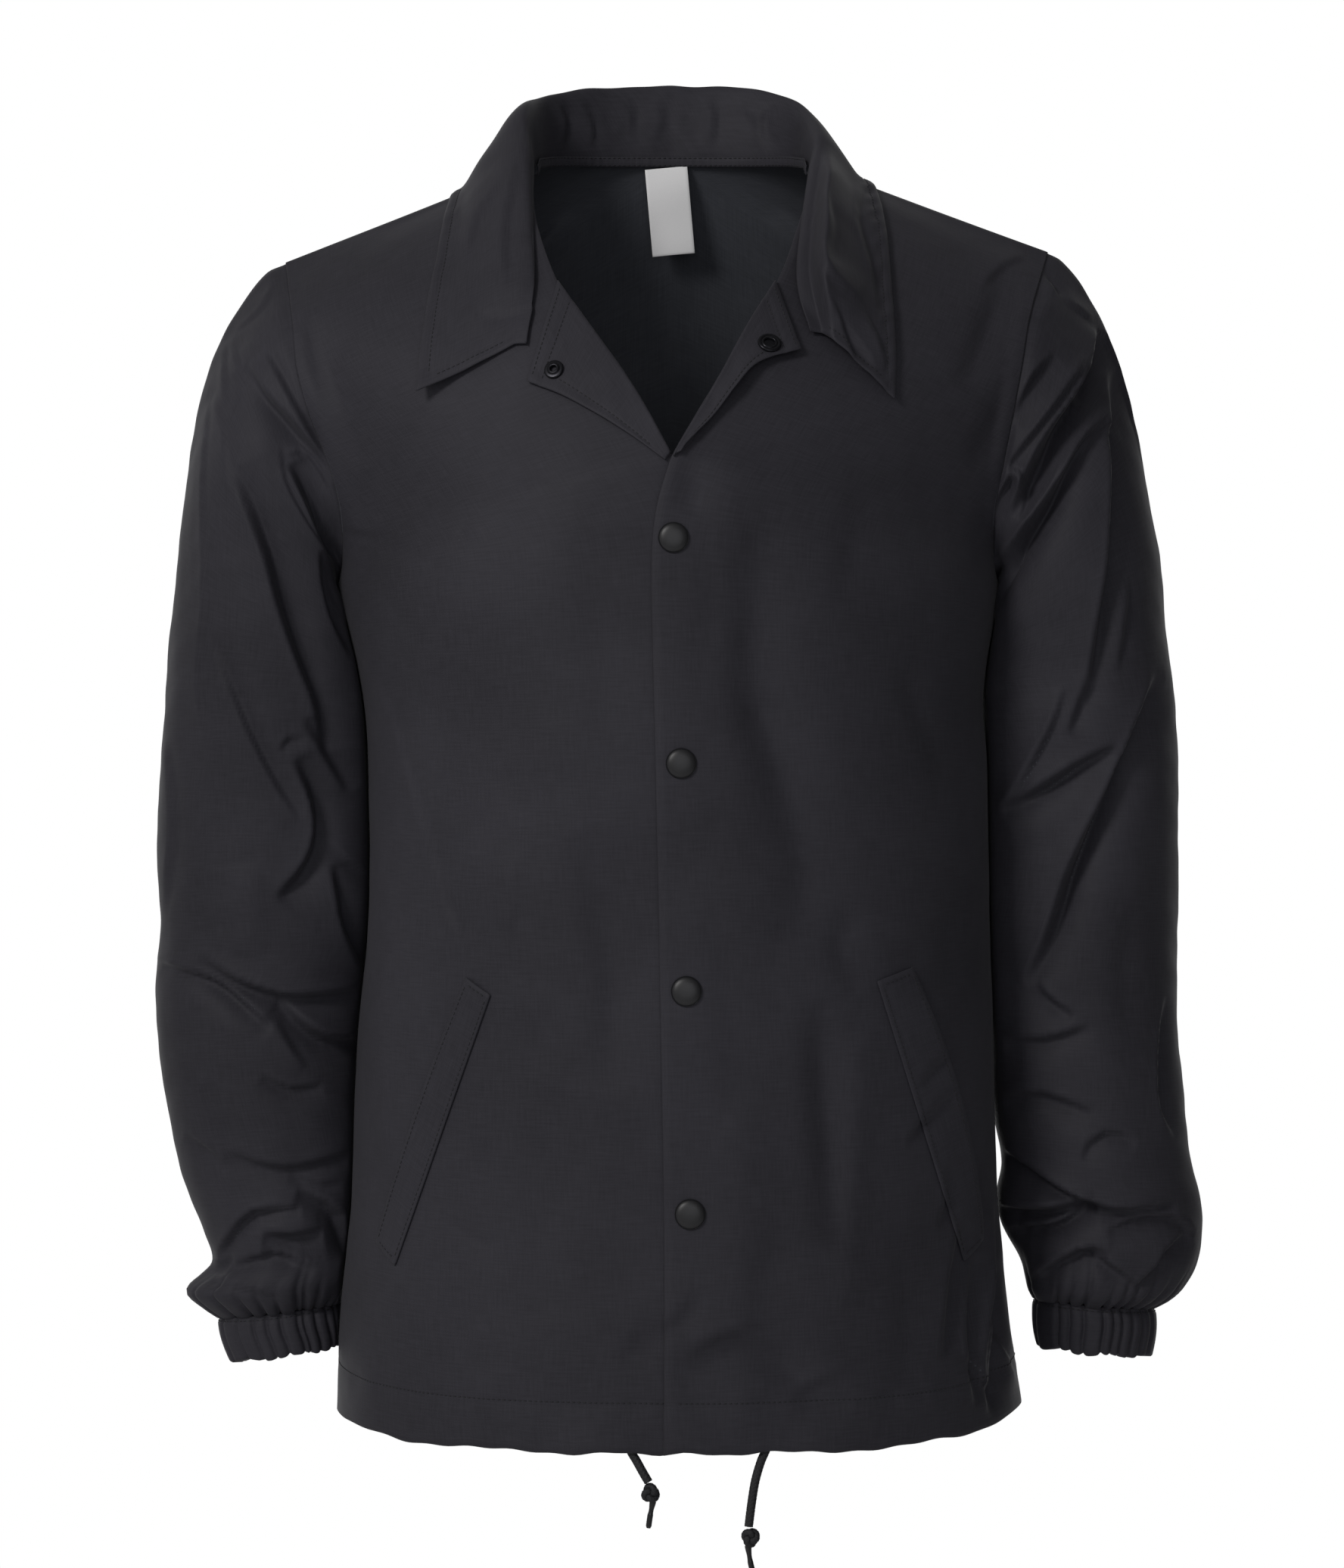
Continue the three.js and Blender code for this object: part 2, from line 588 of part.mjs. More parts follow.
// A point of a panel row: share runs from 0 at the inner edge to 1 at the outer edge.
function rowPoint(row, share) {
  const spread = Math.sin((share * Math.PI) / 2) ** COLUMN_SPREAD;
  const x = mix(row.inner.x, row.outer.x, spread);
  const across = clamp(Math.abs((x - row.crown) / (row.outer.x - row.crown)), 0, 1);
  const power = mix(1, 1 / BODY_ROUNDNESS, row.squareness);
  const rounding = (1 - across ** BODY_ROUNDNESS) ** power;
  const y = mix(row.outer.y, row.inner.y, rounding) + row.bulge * 4 * across * (1 - across);
  return vector(x, y, mix(row.inner.z, row.outer.z, across ** row.ease));
}

// Moves a panel's outer edge back from its seam, and gives the shared direction of its rim.
function seamEdge(side, level, face, point) {
  const half = SEAM_GAP / 2;
  if (level < 1) {
    return { point: point.add(vector(0, face * half, 0)), inward: vector(-side, 0, 0) };
  }
  const t = level - 1;
  const inward = armholeInward(side, armholePoint(side, t, face));
  point.addScaledVector(armholeOutward(side, t, face), -half);
  if (t === 0 || t === 1) point.y += face * half;
  return { point, inward };
}

// The rim along the shoulder seam stands square to the seam line.
function shoulderInward(side) {
  const neck = samplePoint(FRONT_NECK, 1, side);
  const tip = armholePoint(side, 1, -1);
  const along = tip.sub(neck).normalize();
  const inward = vector(0, 1, 0).cross(along).normalize();
  return inward.z < 0 ? inward : inward.negate();
}

function panelLevel(row) {
  return row <= LOWER_ROWS ? lowerLevel(row) : 1 + (row - LOWER_ROWS) / UPPER_ROWS;
}

function frontRow(side, level) {
  const edge = side === LEFT ? 'over' : 'under';
  if (level < 1) return lowerRow(side, level, -1, (z) => sample(PLACKET, 'z', edge, z));
  return upperFrontRow(side, level - 1);
}

function backRow(side, level) {
  return level < 1 ? lowerRow(side, level, 1, () => 0) : upperBackRow(side, level - 1);
}

function frontSheet(side) {
  const rows = LOWER_ROWS + UPPER_ROWS;
  const sheet = gridSheet(rows, FRONT_COLUMNS, (row, column) => {
    const level = panelLevel(row);
    const share = column / FRONT_COLUMNS;
    const point = rowPoint(frontRow(side, level), share);
    if (share === 1) return seamEdge(side, level, -1, point);
    if (row === rows) {
      point.y -= SEAM_GAP / 2;
      return { point, inward: shoulderInward(side) };
    }
    return { point };
  });
  if (side === RIGHT) flip(sheet);
  finishPanel(sheet);
  if (side === LEFT) liftPlacket(sheet);
  return sheet;
}

// Folds fade out at the seams, so that neighbouring panels still meet.
function finishPanel(sheet) {
  displace(sheet, (point, normal, i) => {
    if (sheet.inward[i]) return 0;
    return foldMove(BODY_FOLDS, point, normal);
  });
}

function liftPlacket(sheet) {
  sheet.points.forEach((point) => {
    if (point.z > -130 || point.y > 0) return;
    const under = sample(PLACKET, 'z', 'under', point.z);
    const near = 1 - smooth(under + 4, under + 4 + OVERLAP_BLEND, point.x);
    const below = 1 - smooth(-186, -150, point.z);
    point.y -= OVERLAP_LIFT * near * below;
  });
}

// The back is one piece; above the neckline's lowest row its two halves part.
function backSheet() {
  const sheet = makeSheet();
  const rows = LOWER_ROWS + UPPER_ROWS;
  const shared = LOWER_ROWS + NECK_ROW;
  const ids = { right: [], left: [] };
  for (const side of [RIGHT, LEFT]) {
    for (let row = 0; row <= rows; row += 1) {
      ids[nameOf(side)].push(backRowIds(sheet, side, row, shared, ids.right));
    }
  }
  for (const side of [RIGHT, LEFT]) {
    const table = ids[nameOf(side)];
    for (let row = 0; row < rows; row += 1) {
      for (let column = 0; column < BACK_COLUMNS; column += 1) {
        const a = table[row][column];
        const b = table[row][column + 1];
        const c = table[row + 1][column + 1];
        const d = table[row + 1][column];
        sheet.quads.push(side === RIGHT ? [a, b, c, d] : [a, d, c, b]);
      }
    }
  }
  finishPanel(sheet);
  return sheet;
}

function backRowIds(sheet, side, row, shared, firstHalf) {
  const level = panelLevel(row);
  const shape = backRow(side, level);
  const line = [];
  for (let column = 0; column <= BACK_COLUMNS; column += 1) {
    if (column === 0 && side === LEFT && row <= shared) {
      line.push(firstHalf[row][0]);
      continue;
    }
    const share = column / BACK_COLUMNS;
    const point = rowPoint(shape, share);
    if (share === 1) {
      const edge = seamEdge(side, level, 1, point);
      line.push(addPoint(sheet, edge.point, edge.inward));
    } else if (row === LOWER_ROWS + UPPER_ROWS) {
      point.y += SEAM_GAP / 2;
      line.push(addPoint(sheet, point, shoulderInward(side)));
    } else {
      line.push(addPoint(sheet, point));
    }
  }
  return line;
}

// Sleeves: a cap that leaves the armhole ring, then level sections down to the cuff

const SLEEVE_COLUMNS = UPPER_ROWS * 2;

function ringPlace(side, column) {
  const inFront = column <= UPPER_ROWS;
  const t = inFront ? 1 - column / UPPER_ROWS : (column - UPPER_ROWS) / UPPER_ROWS;
  const face = inFront ? -1 : 1;
  const point = armholePoint(side, t, face);
  const inward = armholeInward(side, point);
  const outward = armholeOutward(side, t, face);
  return { point: point.addScaledVector(outward, SEAM_GAP / 2), inward };
}

function sleeveSection(side, z, column) {
  const table = SLEEVE_TABLES[nameOf(side)];
  const cuff = CUFFS[nameOf(side)];
  const wide = sample(table, 'z', 'wide', z);
  const deep = sample(table, 'z', 'deep', z);
  const x = sample(table, 'z', 'outer', z) - wide;
  const angle = (column / SLEEVE_COLUMNS) * 2 * Math.PI;
  const tilt = (cuff.tilt / 2) * (1 - smooth(table[0].z, CAP_END_Z, z));
  return vector(
    side * (x + wide * Math.cos(angle)),
    sample(table, 'z', 'middle', z) - deep * Math.sin(angle),
    z - tilt * Math.cos(angle),
  );
}

function capPoint(side, column, share) {
  const start = ringPlace(side, column).point;
  const end = sleeveSection(side, CAP_END_Z, column);
  const reach = start.distanceTo(end);
  const leaving = vector(side * 0.85, 0, -0.53).multiplyScalar(reach * CAP_START[nameOf(side)]);
  const above = sleeveSection(side, CAP_END_Z + 10, column);
  const below = sleeveSection(side, CAP_END_Z - 10, column);
  const arriving = above.sub(below).setLength(reach * CAP_FINISH);
  const handles = [start.clone().add(leaving), end.clone().add(arriving)];
  return new THREE.CubicBezierCurve3(start, ...handles, end).getPoint(share);
}

// The half width of the jacket's body at a height and depth.
function bodyReach(side, y, z) {
  const level = clamp(z, -711, ARMPIT_Z);
  const half = sample(BODY, 'z', nameOf(side), level);
  const seam = sample(BODY, 'z', 'side', level);
  const middle = sample(BODY, 'z', y < seam ? 'front' : 'back', level);
  const across = clamp((y - seam) / (middle - seam), 0, 1);
  return half * (1 - across ** BODY_ROUNDNESS) ** (1 / BODY_ROUNDNESS);
}

function sleeveSheet(side) {
  const rows = SLEEVE_CAP_ROWS + SLEEVE_ROWS;
  const bottom = SLEEVE_TABLES[nameOf(side)][0].z;
  const sheet = gridSheet(rows, SLEEVE_COLUMNS, (row, column) => {
    if (row === 0) return ringPlace(side, column);
    if (row <= SLEEVE_CAP_ROWS) return { point: capPoint(side, column, row / SLEEVE_CAP_ROWS) };
    const share = 1 - (1 - (row - SLEEVE_CAP_ROWS) / SLEEVE_ROWS) ** SLEEVE_ROW_EASE;
    const point = sleeveSection(side, mix(CAP_END_Z, bottom, share), column);
    return row === rows ? { point, inward: cuffInward(side, column / SLEEVE_COLUMNS) } : { point };
  }, true);
  if (side === RIGHT) flip(sheet);
  const folds = side === RIGHT ? RIGHT_SLEEVE_FOLDS : LEFT_SLEEVE_FOLDS;
  displace(sheet, (point, normal, i) => (sheet.inward[i] ? 0 : foldMove(folds, point, normal)));
  return besideBody(sheet, side);
}

// Presses a sleeve or cuff flat where it lies against the side of the body.
function besideBody(sheet, side) {
  for (const point of sheet.points) {
    if (point.z > ARMPIT_Z - 8) continue;
    const reach = bodyReach(side, point.y, point.z) + SLEEVE_CLEAR;
    if (point.x * side < reach) point.x = side * reach;
  }
  return sheet;
}

// Cuffs

function cuffInward(side, turn) {
  const cuff = CUFFS[nameOf(side)];
  const angle = turn * 2 * Math.PI;
  const slope = cuff.tilt / 2 / cuff.wide;
  return vector(-side * Math.cos(angle), Math.sin(angle), slope * Math.cos(angle)).normalize();
}

function cuffSheet(side) {
  const cuff = CUFFS[nameOf(side)];
  const sheet = gridSheet(CUFF_ROWS, CUFF_COLUMNS, (row, column) => {
    const share = row / CUFF_ROWS;
    const turn = column / CUFF_COLUMNS;
    const angle = turn * 2 * Math.PI;
    const gather = CUFF_GATHER_DEPTH * Math.cos(CUFF_GATHERS * angle) * (row === 1 ? 1 : 0.7);
    const puff = (row === 1 ? 1.2 : 0) - CUFF_NARROWING * share + gather;
    const x = mix(cuff.x, cuff.lowX, share) + (cuff.wide + puff) * Math.cos(angle);
    const y = mix(cuff.y, cuff.lowY, share) - (cuff.deep + puff) * Math.sin(angle);
    const z = mix(cuff.top, cuff.bottom, share) - (cuff.tilt / 2) * Math.cos(angle);
    return { point: vector(side * x, y, z), inward: cuffInward(side, turn) };
  }, true);
  return besideBody(side === RIGHT ? flip(sheet) : sheet, side);
}

// Laying pieces on a panel: the panel's own face, found in front view

function onPanel(sheet, x, z) {
  const normals = normalsOf(sheet);
  let best = null;
  for (const corners of trianglesOf(sheet)) {
    const [a, b, c] = corners.map((i) => sheet.points[i]);
    const area = (b.x - a.x) * (c.z - a.z) - (c.x - a.x) * (b.z - a.z);
    if (area < 1e-6) continue;
    const shareB = ((x - a.x) * (c.z - a.z) - (c.x - a.x) * (z - a.z)) / area;
    const shareC = ((b.x - a.x) * (z - a.z) - (x - a.x) * (b.z - a.z)) / area;
    const inside = Math.min(shareB, shareC, 1 - shareB - shareC);
    if (best && inside <= best.inside) continue;
    best = { inside, corners, shares: [1 - shareB - shareC, shareB, shareC] };
  }
  const point = vector(0, 0, 0);
  const normal = vector(0, 0, 0);
  best.corners.forEach((corner, k) => {
    point.addScaledVector(sheet.points[corner], best.shares[k]);
    normal.addScaledVector(normals[corner], best.shares[k]);
  });
  return { point, normal: normal.normalize() };
}

// A piece laid on a panel; spot(row, column) gives its x, z and its lift off the panel.
function layOn(panel, rows, columns, thickness, spot) {
  return gridSheet(rows, columns, (row, column) => {
    const { x, z, lift } = spot(row, column);
    const { point, normal } = onPanel(panel, x, z);
    const inward = normal.clone().negate();
    return { point: point.addScaledVector(normal, LAY_GAP + thickness + lift), inward };
  });
}

function facingSheet(side, panel) {
  const table = side === RIGHT ? RIGHT_FACING : LEFT_FACING;
  const sheet = layOn(panel, FACING_ROWS, FACING_COLUMNS, WALL, (row, column) => {
    const q = row / FACING_ROWS;
    const share = column / FACING_COLUMNS;
    const read = (name) => sample(table, 'q', name, q);
    return {
      x: side * mix(read('neckX'), read('freeX'), share),
      z: mix(read('neckZ'), read('freeZ'), share),
      lift: read('lift') * share * share,
    };
  });
  return side === LEFT ? sheet : flip(sheet);
}

function weltSheet(side, panel) {
  const welt = WELTS[nameOf(side)];
  const sheet = layOn(panel, WELT_ROWS, WELT_COLUMNS, WALL, (row, column) => {
    const down = row / WELT_ROWS;
    const share = column / WELT_COLUMNS;
    const corner = (name, k) => mix(welt[`${name}Top`][k], welt[`${name}Bottom`][k], down);
    return {
      x: side * mix(corner('inner', 0), corner('outer', 0), share),
      z: mix(corner('inner', 1), corner('outer', 1), share),
      lift: 0,
    };
  });
  return side === LEFT ? flip(sheet) : sheet;
}

// Pushing a point clear of other sheets, along the face that it is nearest to

function nearestOn(sheet, triangles, point) {
  let best = { distance: Infinity };
  const triangle = new THREE.Triangle();
  const spot = vector(0, 0, 0);
  for (const [a, b, c] of triangles) {
    triangle.set(sheet.points[a], sheet.points[b], sheet.points[c]);
    triangle.closestPointToPoint(point, spot);
    const distance = spot.distanceTo(point);
    if (distance < best.distance) {
      best = { distance, spot: spot.clone(), normal: triangle.getNormal(vector(0, 0, 0)) };
    }
  }
  return best;
}

function pushClear(point, sheets, clearance) {
  for (let pass = 0; pass < 3; pass += 1) {
    for (const sheet of sheets) {
      const { distance, spot, normal } = nearestOn(sheet, trianglesOf(sheet), point);
      const height = point.clone().sub(spot).dot(normal);
      const aside = Math.sqrt(Math.max(distance ** 2 - height ** 2, 0));
      if (aside > 3 || height > clearance || height < -25) continue;
      point.addScaledVector(normal, clearance - height);
    }
  }
  return point;
}

// The collar: a stand that rises from the neckline, a roll and a leaf that falls outside

function collarShape(side, station) {
  const read = (name) => sample(COLLAR, 'station', name, station);
  const narrower = side === LEFT ? LEFT_LEAF_NARROWER * smooth(0.8, 2.6, station) : 0;
  const behind = smooth(0.8, 2, station) * (1 - smooth(3, 5, station));
  const lower = side === LEFT ? LEFT_STAND_LOWER * behind : 0;
  return {
    seam: vector(side * read('x'), read('y'), read('z')),
    edge: vector(side * (read('edgeX') - narrower), read('edgeY'), read('edgeZ')),
    stand: read('stand') - lower,
  };
}

function collarPoint(side, station, row) {
  const { seam, edge, stand } = collarShape(side, station);
  const outward = vector(edge.x - seam.x, edge.y - seam.y, 0);
  const lean = Math.min(outward.length() * 0.3, 7);
  outward.normalize();
  const foot = seam.clone().addScaledVector(outward, 0.6).add(vector(0, 0, 0.5));
  const top = foot.clone().addScaledVector(outward, lean).add(vector(0, 0, stand));
  const round = Math.min(lean * 0.75, stand);
  if (row <= STAND_ROWS) {
    const rise = new THREE.CubicBezierCurve3(
      foot,
      foot.clone().add(vector(0, 0, stand * 0.6)),
      top.clone().addScaledVector(outward, -round),
      top,
    );
    return rise.getPoint(row / STAND_ROWS);
  }
  const drop = top.distanceTo(edge);
  const fall = new THREE.CubicBezierCurve3(
    top,
    top.clone().addScaledVector(outward, Math.max(round, drop * 0.25)),
    edge.clone().lerp(top, 0.35),
    edge,
  );
  return fall.getPoint((row - STAND_ROWS) / LEAF_ROWS);
}

function collarSheet(under) {
  const columns = COLLAR_HALF_COLUMNS * 2;
  const rows = STAND_ROWS + LEAF_ROWS;
  return gridSheet(rows, columns, (row, column) => {
    const side = column < COLLAR_HALF_COLUMNS ? RIGHT : LEFT;
    const station = (Math.abs(column - COLLAR_HALF_COLUMNS) / COLLAR_HALF_COLUMNS) * COLLAR_STATIONS;
    const point = collarPoint(side, station, row);
    const flatness = Math.max(smooth(3.5, 6, station), smooth(0, STAND_ROWS, row));
    return { point: pushClear(point, under, mix(0.4, WALL + LEAF_GAP, flatness)) };
  });
}

// Back neck tape and care label

// step counts the back panel's neckline rows away from the centre back, negative on the right.
function tapePlace(step, rise) {
  const side = step < 0 ? RIGHT : LEFT;
  const t = (NECK_ROW + Math.abs(step)) / UPPER_ROWS;
  const point = samplePoint(BACK_NECK, t, side);
  const outward = vector(point.x, point.y - ARMHOLE_CENTRE.y, 0).normalize();
  point.addScaledVector(outward, -(WALL + LAY_GAP + TAPE_WALL));
  point.z += rise;
  return { point, inward: outward };
}

function tapeSheet() {
  const reach = TAPE_ROWS_UP - 0.15;
  return gridSheet(1, TAPE_ROWS_UP * 2, (row, column) => {
    const step = clamp(column - TAPE_ROWS_UP, -reach, reach);
    return tapePlace(step, row === 0 ? -TAPE_DROP : TAPE_RISE);
  });
}

function labelSheet() {
  const rows = 6;
  const columns = 2;
  const top = tapePlace(0, -TAPE_DROP - SEAM_GAP - 0.6).point;
  const sheet = gridSheet(rows, columns, (row, column) => {
    const down = row / rows;
    const across = (column / columns - 0.5) * LABEL.width;
    const x = LABEL.x + across + LABEL.tilt * LABEL.length * down;
    const z = top.z - LABEL.length * down - LABEL.tilt * across;
    return { point: vector(x, top.y + LABEL.lean * down * down, z), inward: vector(0, 1, 0) };
  });
  return flip(sheet);
}

// Hard trims

function turned(profile) {
  const points = profile.map(([radius, height]) => new THREE.Vector2(radius, height));
  return new THREE.LatheGeometry(points, SNAP_SIDES);
}

function seatOn(mesh, sheet, spot, gap) {
  const { point, normal } = onPanel(sheet, spot.x, spot.z);
  mesh.position.copy(point.addScaledVector(normal, gap));
  mesh.quaternion.setFromUnitVectors(vector(0, 1, 0), normal);
}

// Drawcord

function roundSection(radius, sides) {
  const shape = new THREE.Shape();
  for (let i = 0; i < sides; i += 1) {
    const angle = (i / sides) * 2 * Math.PI;
    const x = radius * Math.cos(angle);
    const y = radius * Math.sin(angle);
    if (i === 0) shape.moveTo(x, y);
    else shape.lineTo(x, y);
  }
  shape.closePath();
  return shape;
}

function cordGeometry(route, hemY) {
  const points = route.map(({ x, y, z }) => vector(x, hemY + HEM_INSIDE + y, z));
  const curve = new THREE.CatmullRomCurve3(points, false, 'centripetal');
  const steps = Math.max(6, Math.round(curve.getLength() / (CORD_RADIUS * 1.6)));
  return new THREE.ExtrudeGeometry(roundSection(CORD_RADIUS, CORD_SIDES), {
    steps,
    bevelEnabled: false,
    extrudePath: curve,
  });
}

// The assembled jacket

const jacket = new THREE.Group();

function addMesh(name, geometry, finish) {
  const material = new THREE.MeshStandardMaterial({ ...FINISHES[finish] });
  const mesh = new THREE.Mesh(geometry, material);
  mesh.name = name;
  jacket.add(mesh);
  return mesh;
}

const addWall = (name, sheet, finish, thickness = WALL) =>
  addMesh(name, wallGeometry(sheet, thickness), finish);

const fronts = { right: frontSheet(RIGHT), left: frontSheet(LEFT) };
const back = backSheet();
addWall('front_right', fronts.right, 'nylon');
addWall('front_left', fronts.left, 'nylon');
addWall('back', back, 'nylon');

const facings = { right: facingSheet(RIGHT, fronts.right), left: facingSheet(LEFT, fronts.left) };
for (const side of [RIGHT, LEFT]) {
  const name = nameOf(side);
  addWall(`sleeve_${name}`, sleeveSheet(side), 'nylon');
  addWall(`cuff_${name}`, cuffSheet(side), 'nylon', CUFF_WALL);
  addWall(`facing_${name}`, facings[name], 'nylonDark');
  addWall(`welt_${name}`, weltSheet(side, fronts[name]), 'nylon');
}

addWall('collar', collarSheet([fronts.right, fronts.left, back, facings.right, facings.left]), 'nylon');
addWall('neck_tape', tapeSheet(), 'nylonDark', TAPE_WALL);
addWall('care_label', labelSheet(), 'label', LABEL.wall);

CAP_SPOTS.forEach((spot, i) => {
  const cap = addMesh(`snap_cap_${i + 1}`, turned(CAP_PROFILE), 'snap');
  seatOn(cap, fronts.left, spot, 0.5);
});
seatOn(addMesh('snap_socket', turned(SOCKET_PROFILE), 'snap'), facings.left, SOCKET_SPOT, 0.5);
seatOn(addMesh('snap_post', turned(POST_PROFILE), 'snap'), facings.right, POST_SPOT, 0.5);

function addCordEnd(name, route, tail, panel) {
  const hemY = onPanel(panel, route[0].x, route[0].z).point.y;
  addMesh(`cord_${name}`, cordGeometry(route, hemY), 'cord');
  const last = route[route.length - 1];
  const y = hemY + HEM_INSIDE + last.y;
  const knot = addMesh(`knot_${name}`, new THREE.SphereGeometry(1, 12, 8), 'cord');
  knot.scale.set(KNOT.wide, KNOT.deep, KNOT.high);
  knot.position.set(last.x + 1, y, last.z - KNOT.high - SEAM_GAP);
  const start = vector(tail.start[0], y, tail.start[1]);
  const end = vector(tail.end[0], y, tail.end[1]);
  const rod = new THREE.CylinderGeometry(TIP_RADIUS, TIP_RADIUS, start.distanceTo(end), 10);
  const tip = addMesh(`tip_${name}`, rod, 'tip');
  tip.position.copy(start).lerp(end, 0.5);
  tip.quaternion.setFromUnitVectors(vector(0, 1, 0), start.sub(end).normalize());
}

addCordEnd('right', RIGHT_CORD, RIGHT_TAIL, fronts.right);
addCordEnd('left', LEFT_CORD, LEFT_TAIL, fronts.left);

export default jacket;
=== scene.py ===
# %% [markdown]
# A snap-front coach jacket in thin dark nylon, filled out as if somebody wore it.
# Each cut piece of the real jacket is a mesh of its own here. Every one is drafted the way a
# pattern maker drafts it: short tables of body sizes give rows of points, the rows become a
# fine grid, and the grid gets its folds, its seams and a thin wall. A cloth simulation could
# fold the cloth too, but here each fold has to lie where the real jacket has it, so the folds
# are given one by one, each with its own path, width and depth.

# %% Load the frame
import math

import bpy
import numpy as np
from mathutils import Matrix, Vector
from mathutils.bvhtree import BVHTree


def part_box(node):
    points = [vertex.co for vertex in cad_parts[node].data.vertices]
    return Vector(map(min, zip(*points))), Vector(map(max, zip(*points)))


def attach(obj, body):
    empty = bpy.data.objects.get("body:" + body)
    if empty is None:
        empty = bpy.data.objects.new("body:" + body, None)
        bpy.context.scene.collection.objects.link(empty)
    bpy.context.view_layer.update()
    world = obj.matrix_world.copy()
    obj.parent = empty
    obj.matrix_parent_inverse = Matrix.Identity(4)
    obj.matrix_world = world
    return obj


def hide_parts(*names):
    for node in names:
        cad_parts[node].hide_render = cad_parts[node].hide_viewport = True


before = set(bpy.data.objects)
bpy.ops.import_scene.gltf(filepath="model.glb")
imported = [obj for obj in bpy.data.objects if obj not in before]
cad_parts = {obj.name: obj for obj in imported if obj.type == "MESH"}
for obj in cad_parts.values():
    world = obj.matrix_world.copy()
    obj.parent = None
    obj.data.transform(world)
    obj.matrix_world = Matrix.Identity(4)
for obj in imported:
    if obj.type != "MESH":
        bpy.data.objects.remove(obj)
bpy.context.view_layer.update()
MM = 0.001
RIGHT = -1
LEFT = 1
NAMES = {RIGHT: "right", LEFT: "left"}

# %% [markdown]
# The camera stands level with the middle of the jacket, square to its front, with a long lens
# as for a catalogue. At 2.6 m, one pixel of the picture is 0.43 mm at the middle of the body.
# The lens follows from that: sensor width times distance over the height that the frame shows.

# %% Camera
PICTURE_HEIGHT = 2072
MM_PER_PIXEL = 0.43
CAMERA_DISTANCE = 2.6
CAMERA_LEVEL = -0.355
SENSOR = 36

camera_data = bpy.data.cameras.new("camera")
camera_data.sensor_width = SENSOR
camera_data.lens = SENSOR * CAMERA_DISTANCE / (PICTURE_HEIGHT * MM_PER_PIXEL * MM)
camera = bpy.data.objects.new("camera", camera_data)
camera.location = (0, -CAMERA_DISTANCE, CAMERA_LEVEL)
camera.rotation_euler = (math.radians(90), 0, 0)
bpy.context.scene.collection.objects.link(camera)
bpy.context.scene.camera = camera
print("lens in mm:", round(camera_data.lens, 1))

# %% [markdown]
# Materials first need two small tools. Colours are picked as sRGB hex values, as on a screen,
# but the renderer adds up light, so each is turned to linear. The other tool adds one node,
# sets its values and links its inputs, which keeps every material readable from top to bottom.

# %% Colour and node tools
def linear(hex_colour):
    """An sRGB hex colour as linear red, green, blue and alpha."""
    channels = [int(hex_colour[i:i + 2], 16) / 255 for i in (1, 3, 5)]
    bright = [c / 12.92 if c <= 0.04045 else ((c + 0.055) / 1.055) ** 2.4 for c in channels]
    return (*bright, 1)


def add_node(material, kind, settings=None, links=None):
    """Adds one node: settings go to inputs or properties, links join outputs to inputs."""
    tree = material.node_tree
    node = tree.nodes.new(kind)
    for name, value in (settings or {}).items():
        if isinstance(name, int) or name in node.inputs:
            node.inputs[name].default_value = value
        else:
            setattr(node, name, value)
    for name, output in (links or {}).items():
        tree.links.new(output, node.inputs[name])
    return node


def new_material(name):
    """An empty material with its output, and the principled shader that feeds it."""
    material = bpy.data.materials.new(name)
    material.use_nodes = True
    material.node_tree.nodes.clear()
    shader = add_node(material, "ShaderNodeBsdfPrincipled")
    add_node(material, "ShaderNodeOutputMaterial", links={"Surface": shader.outputs[0]})
    return material, shader


def wire(material, shader, **outputs):
    """Links outputs to the shader's inputs by name, with _ for a space."""
    for name, output in outputs.items():
        material.node_tree.links.new(output, shader.inputs[name.replace("_", " ")])


# %% [markdown]
# Nylon taffeta is a plain weave of filament yarn, calendered between hot rollers. Its face is
# smooth, so it has a soft satin sheen, and slightly uneven yarns draw fine streaks along the
# warp and the weft. The real yarns are 0.25 mm apart, too fine for the picture, so the weave
# is drawn at 1.3 mm, and the streaks are 1 mm wide and some 14 mm long. Both use the UV map,
# which holds millimetres on the cut cloth, so that the grain runs true on every piece. The
# inner side has a clear coat against wind, which makes it a little cooler. It is also painted
# paler than the outer side, as painted light that stands in for the light coming in at the neck.

# %% Nylon
WAVE_PERIOD = 0.314
WEAVE_PITCH = 1.3 * MM
STREAK_STRETCHES = ((1000, 70, 1), (70, 1000, 1))
CLOUD_SCALE = 9
CRUMPLE_SCALE = 46
CRUMPLE_DEPTH = 1.2 * MM
YARN_DEPTH = 0.08 * MM
NYLON_IOR = 1.53
NYLON_SPECULAR = 0.12
NYLON_SHEEN = 0.04


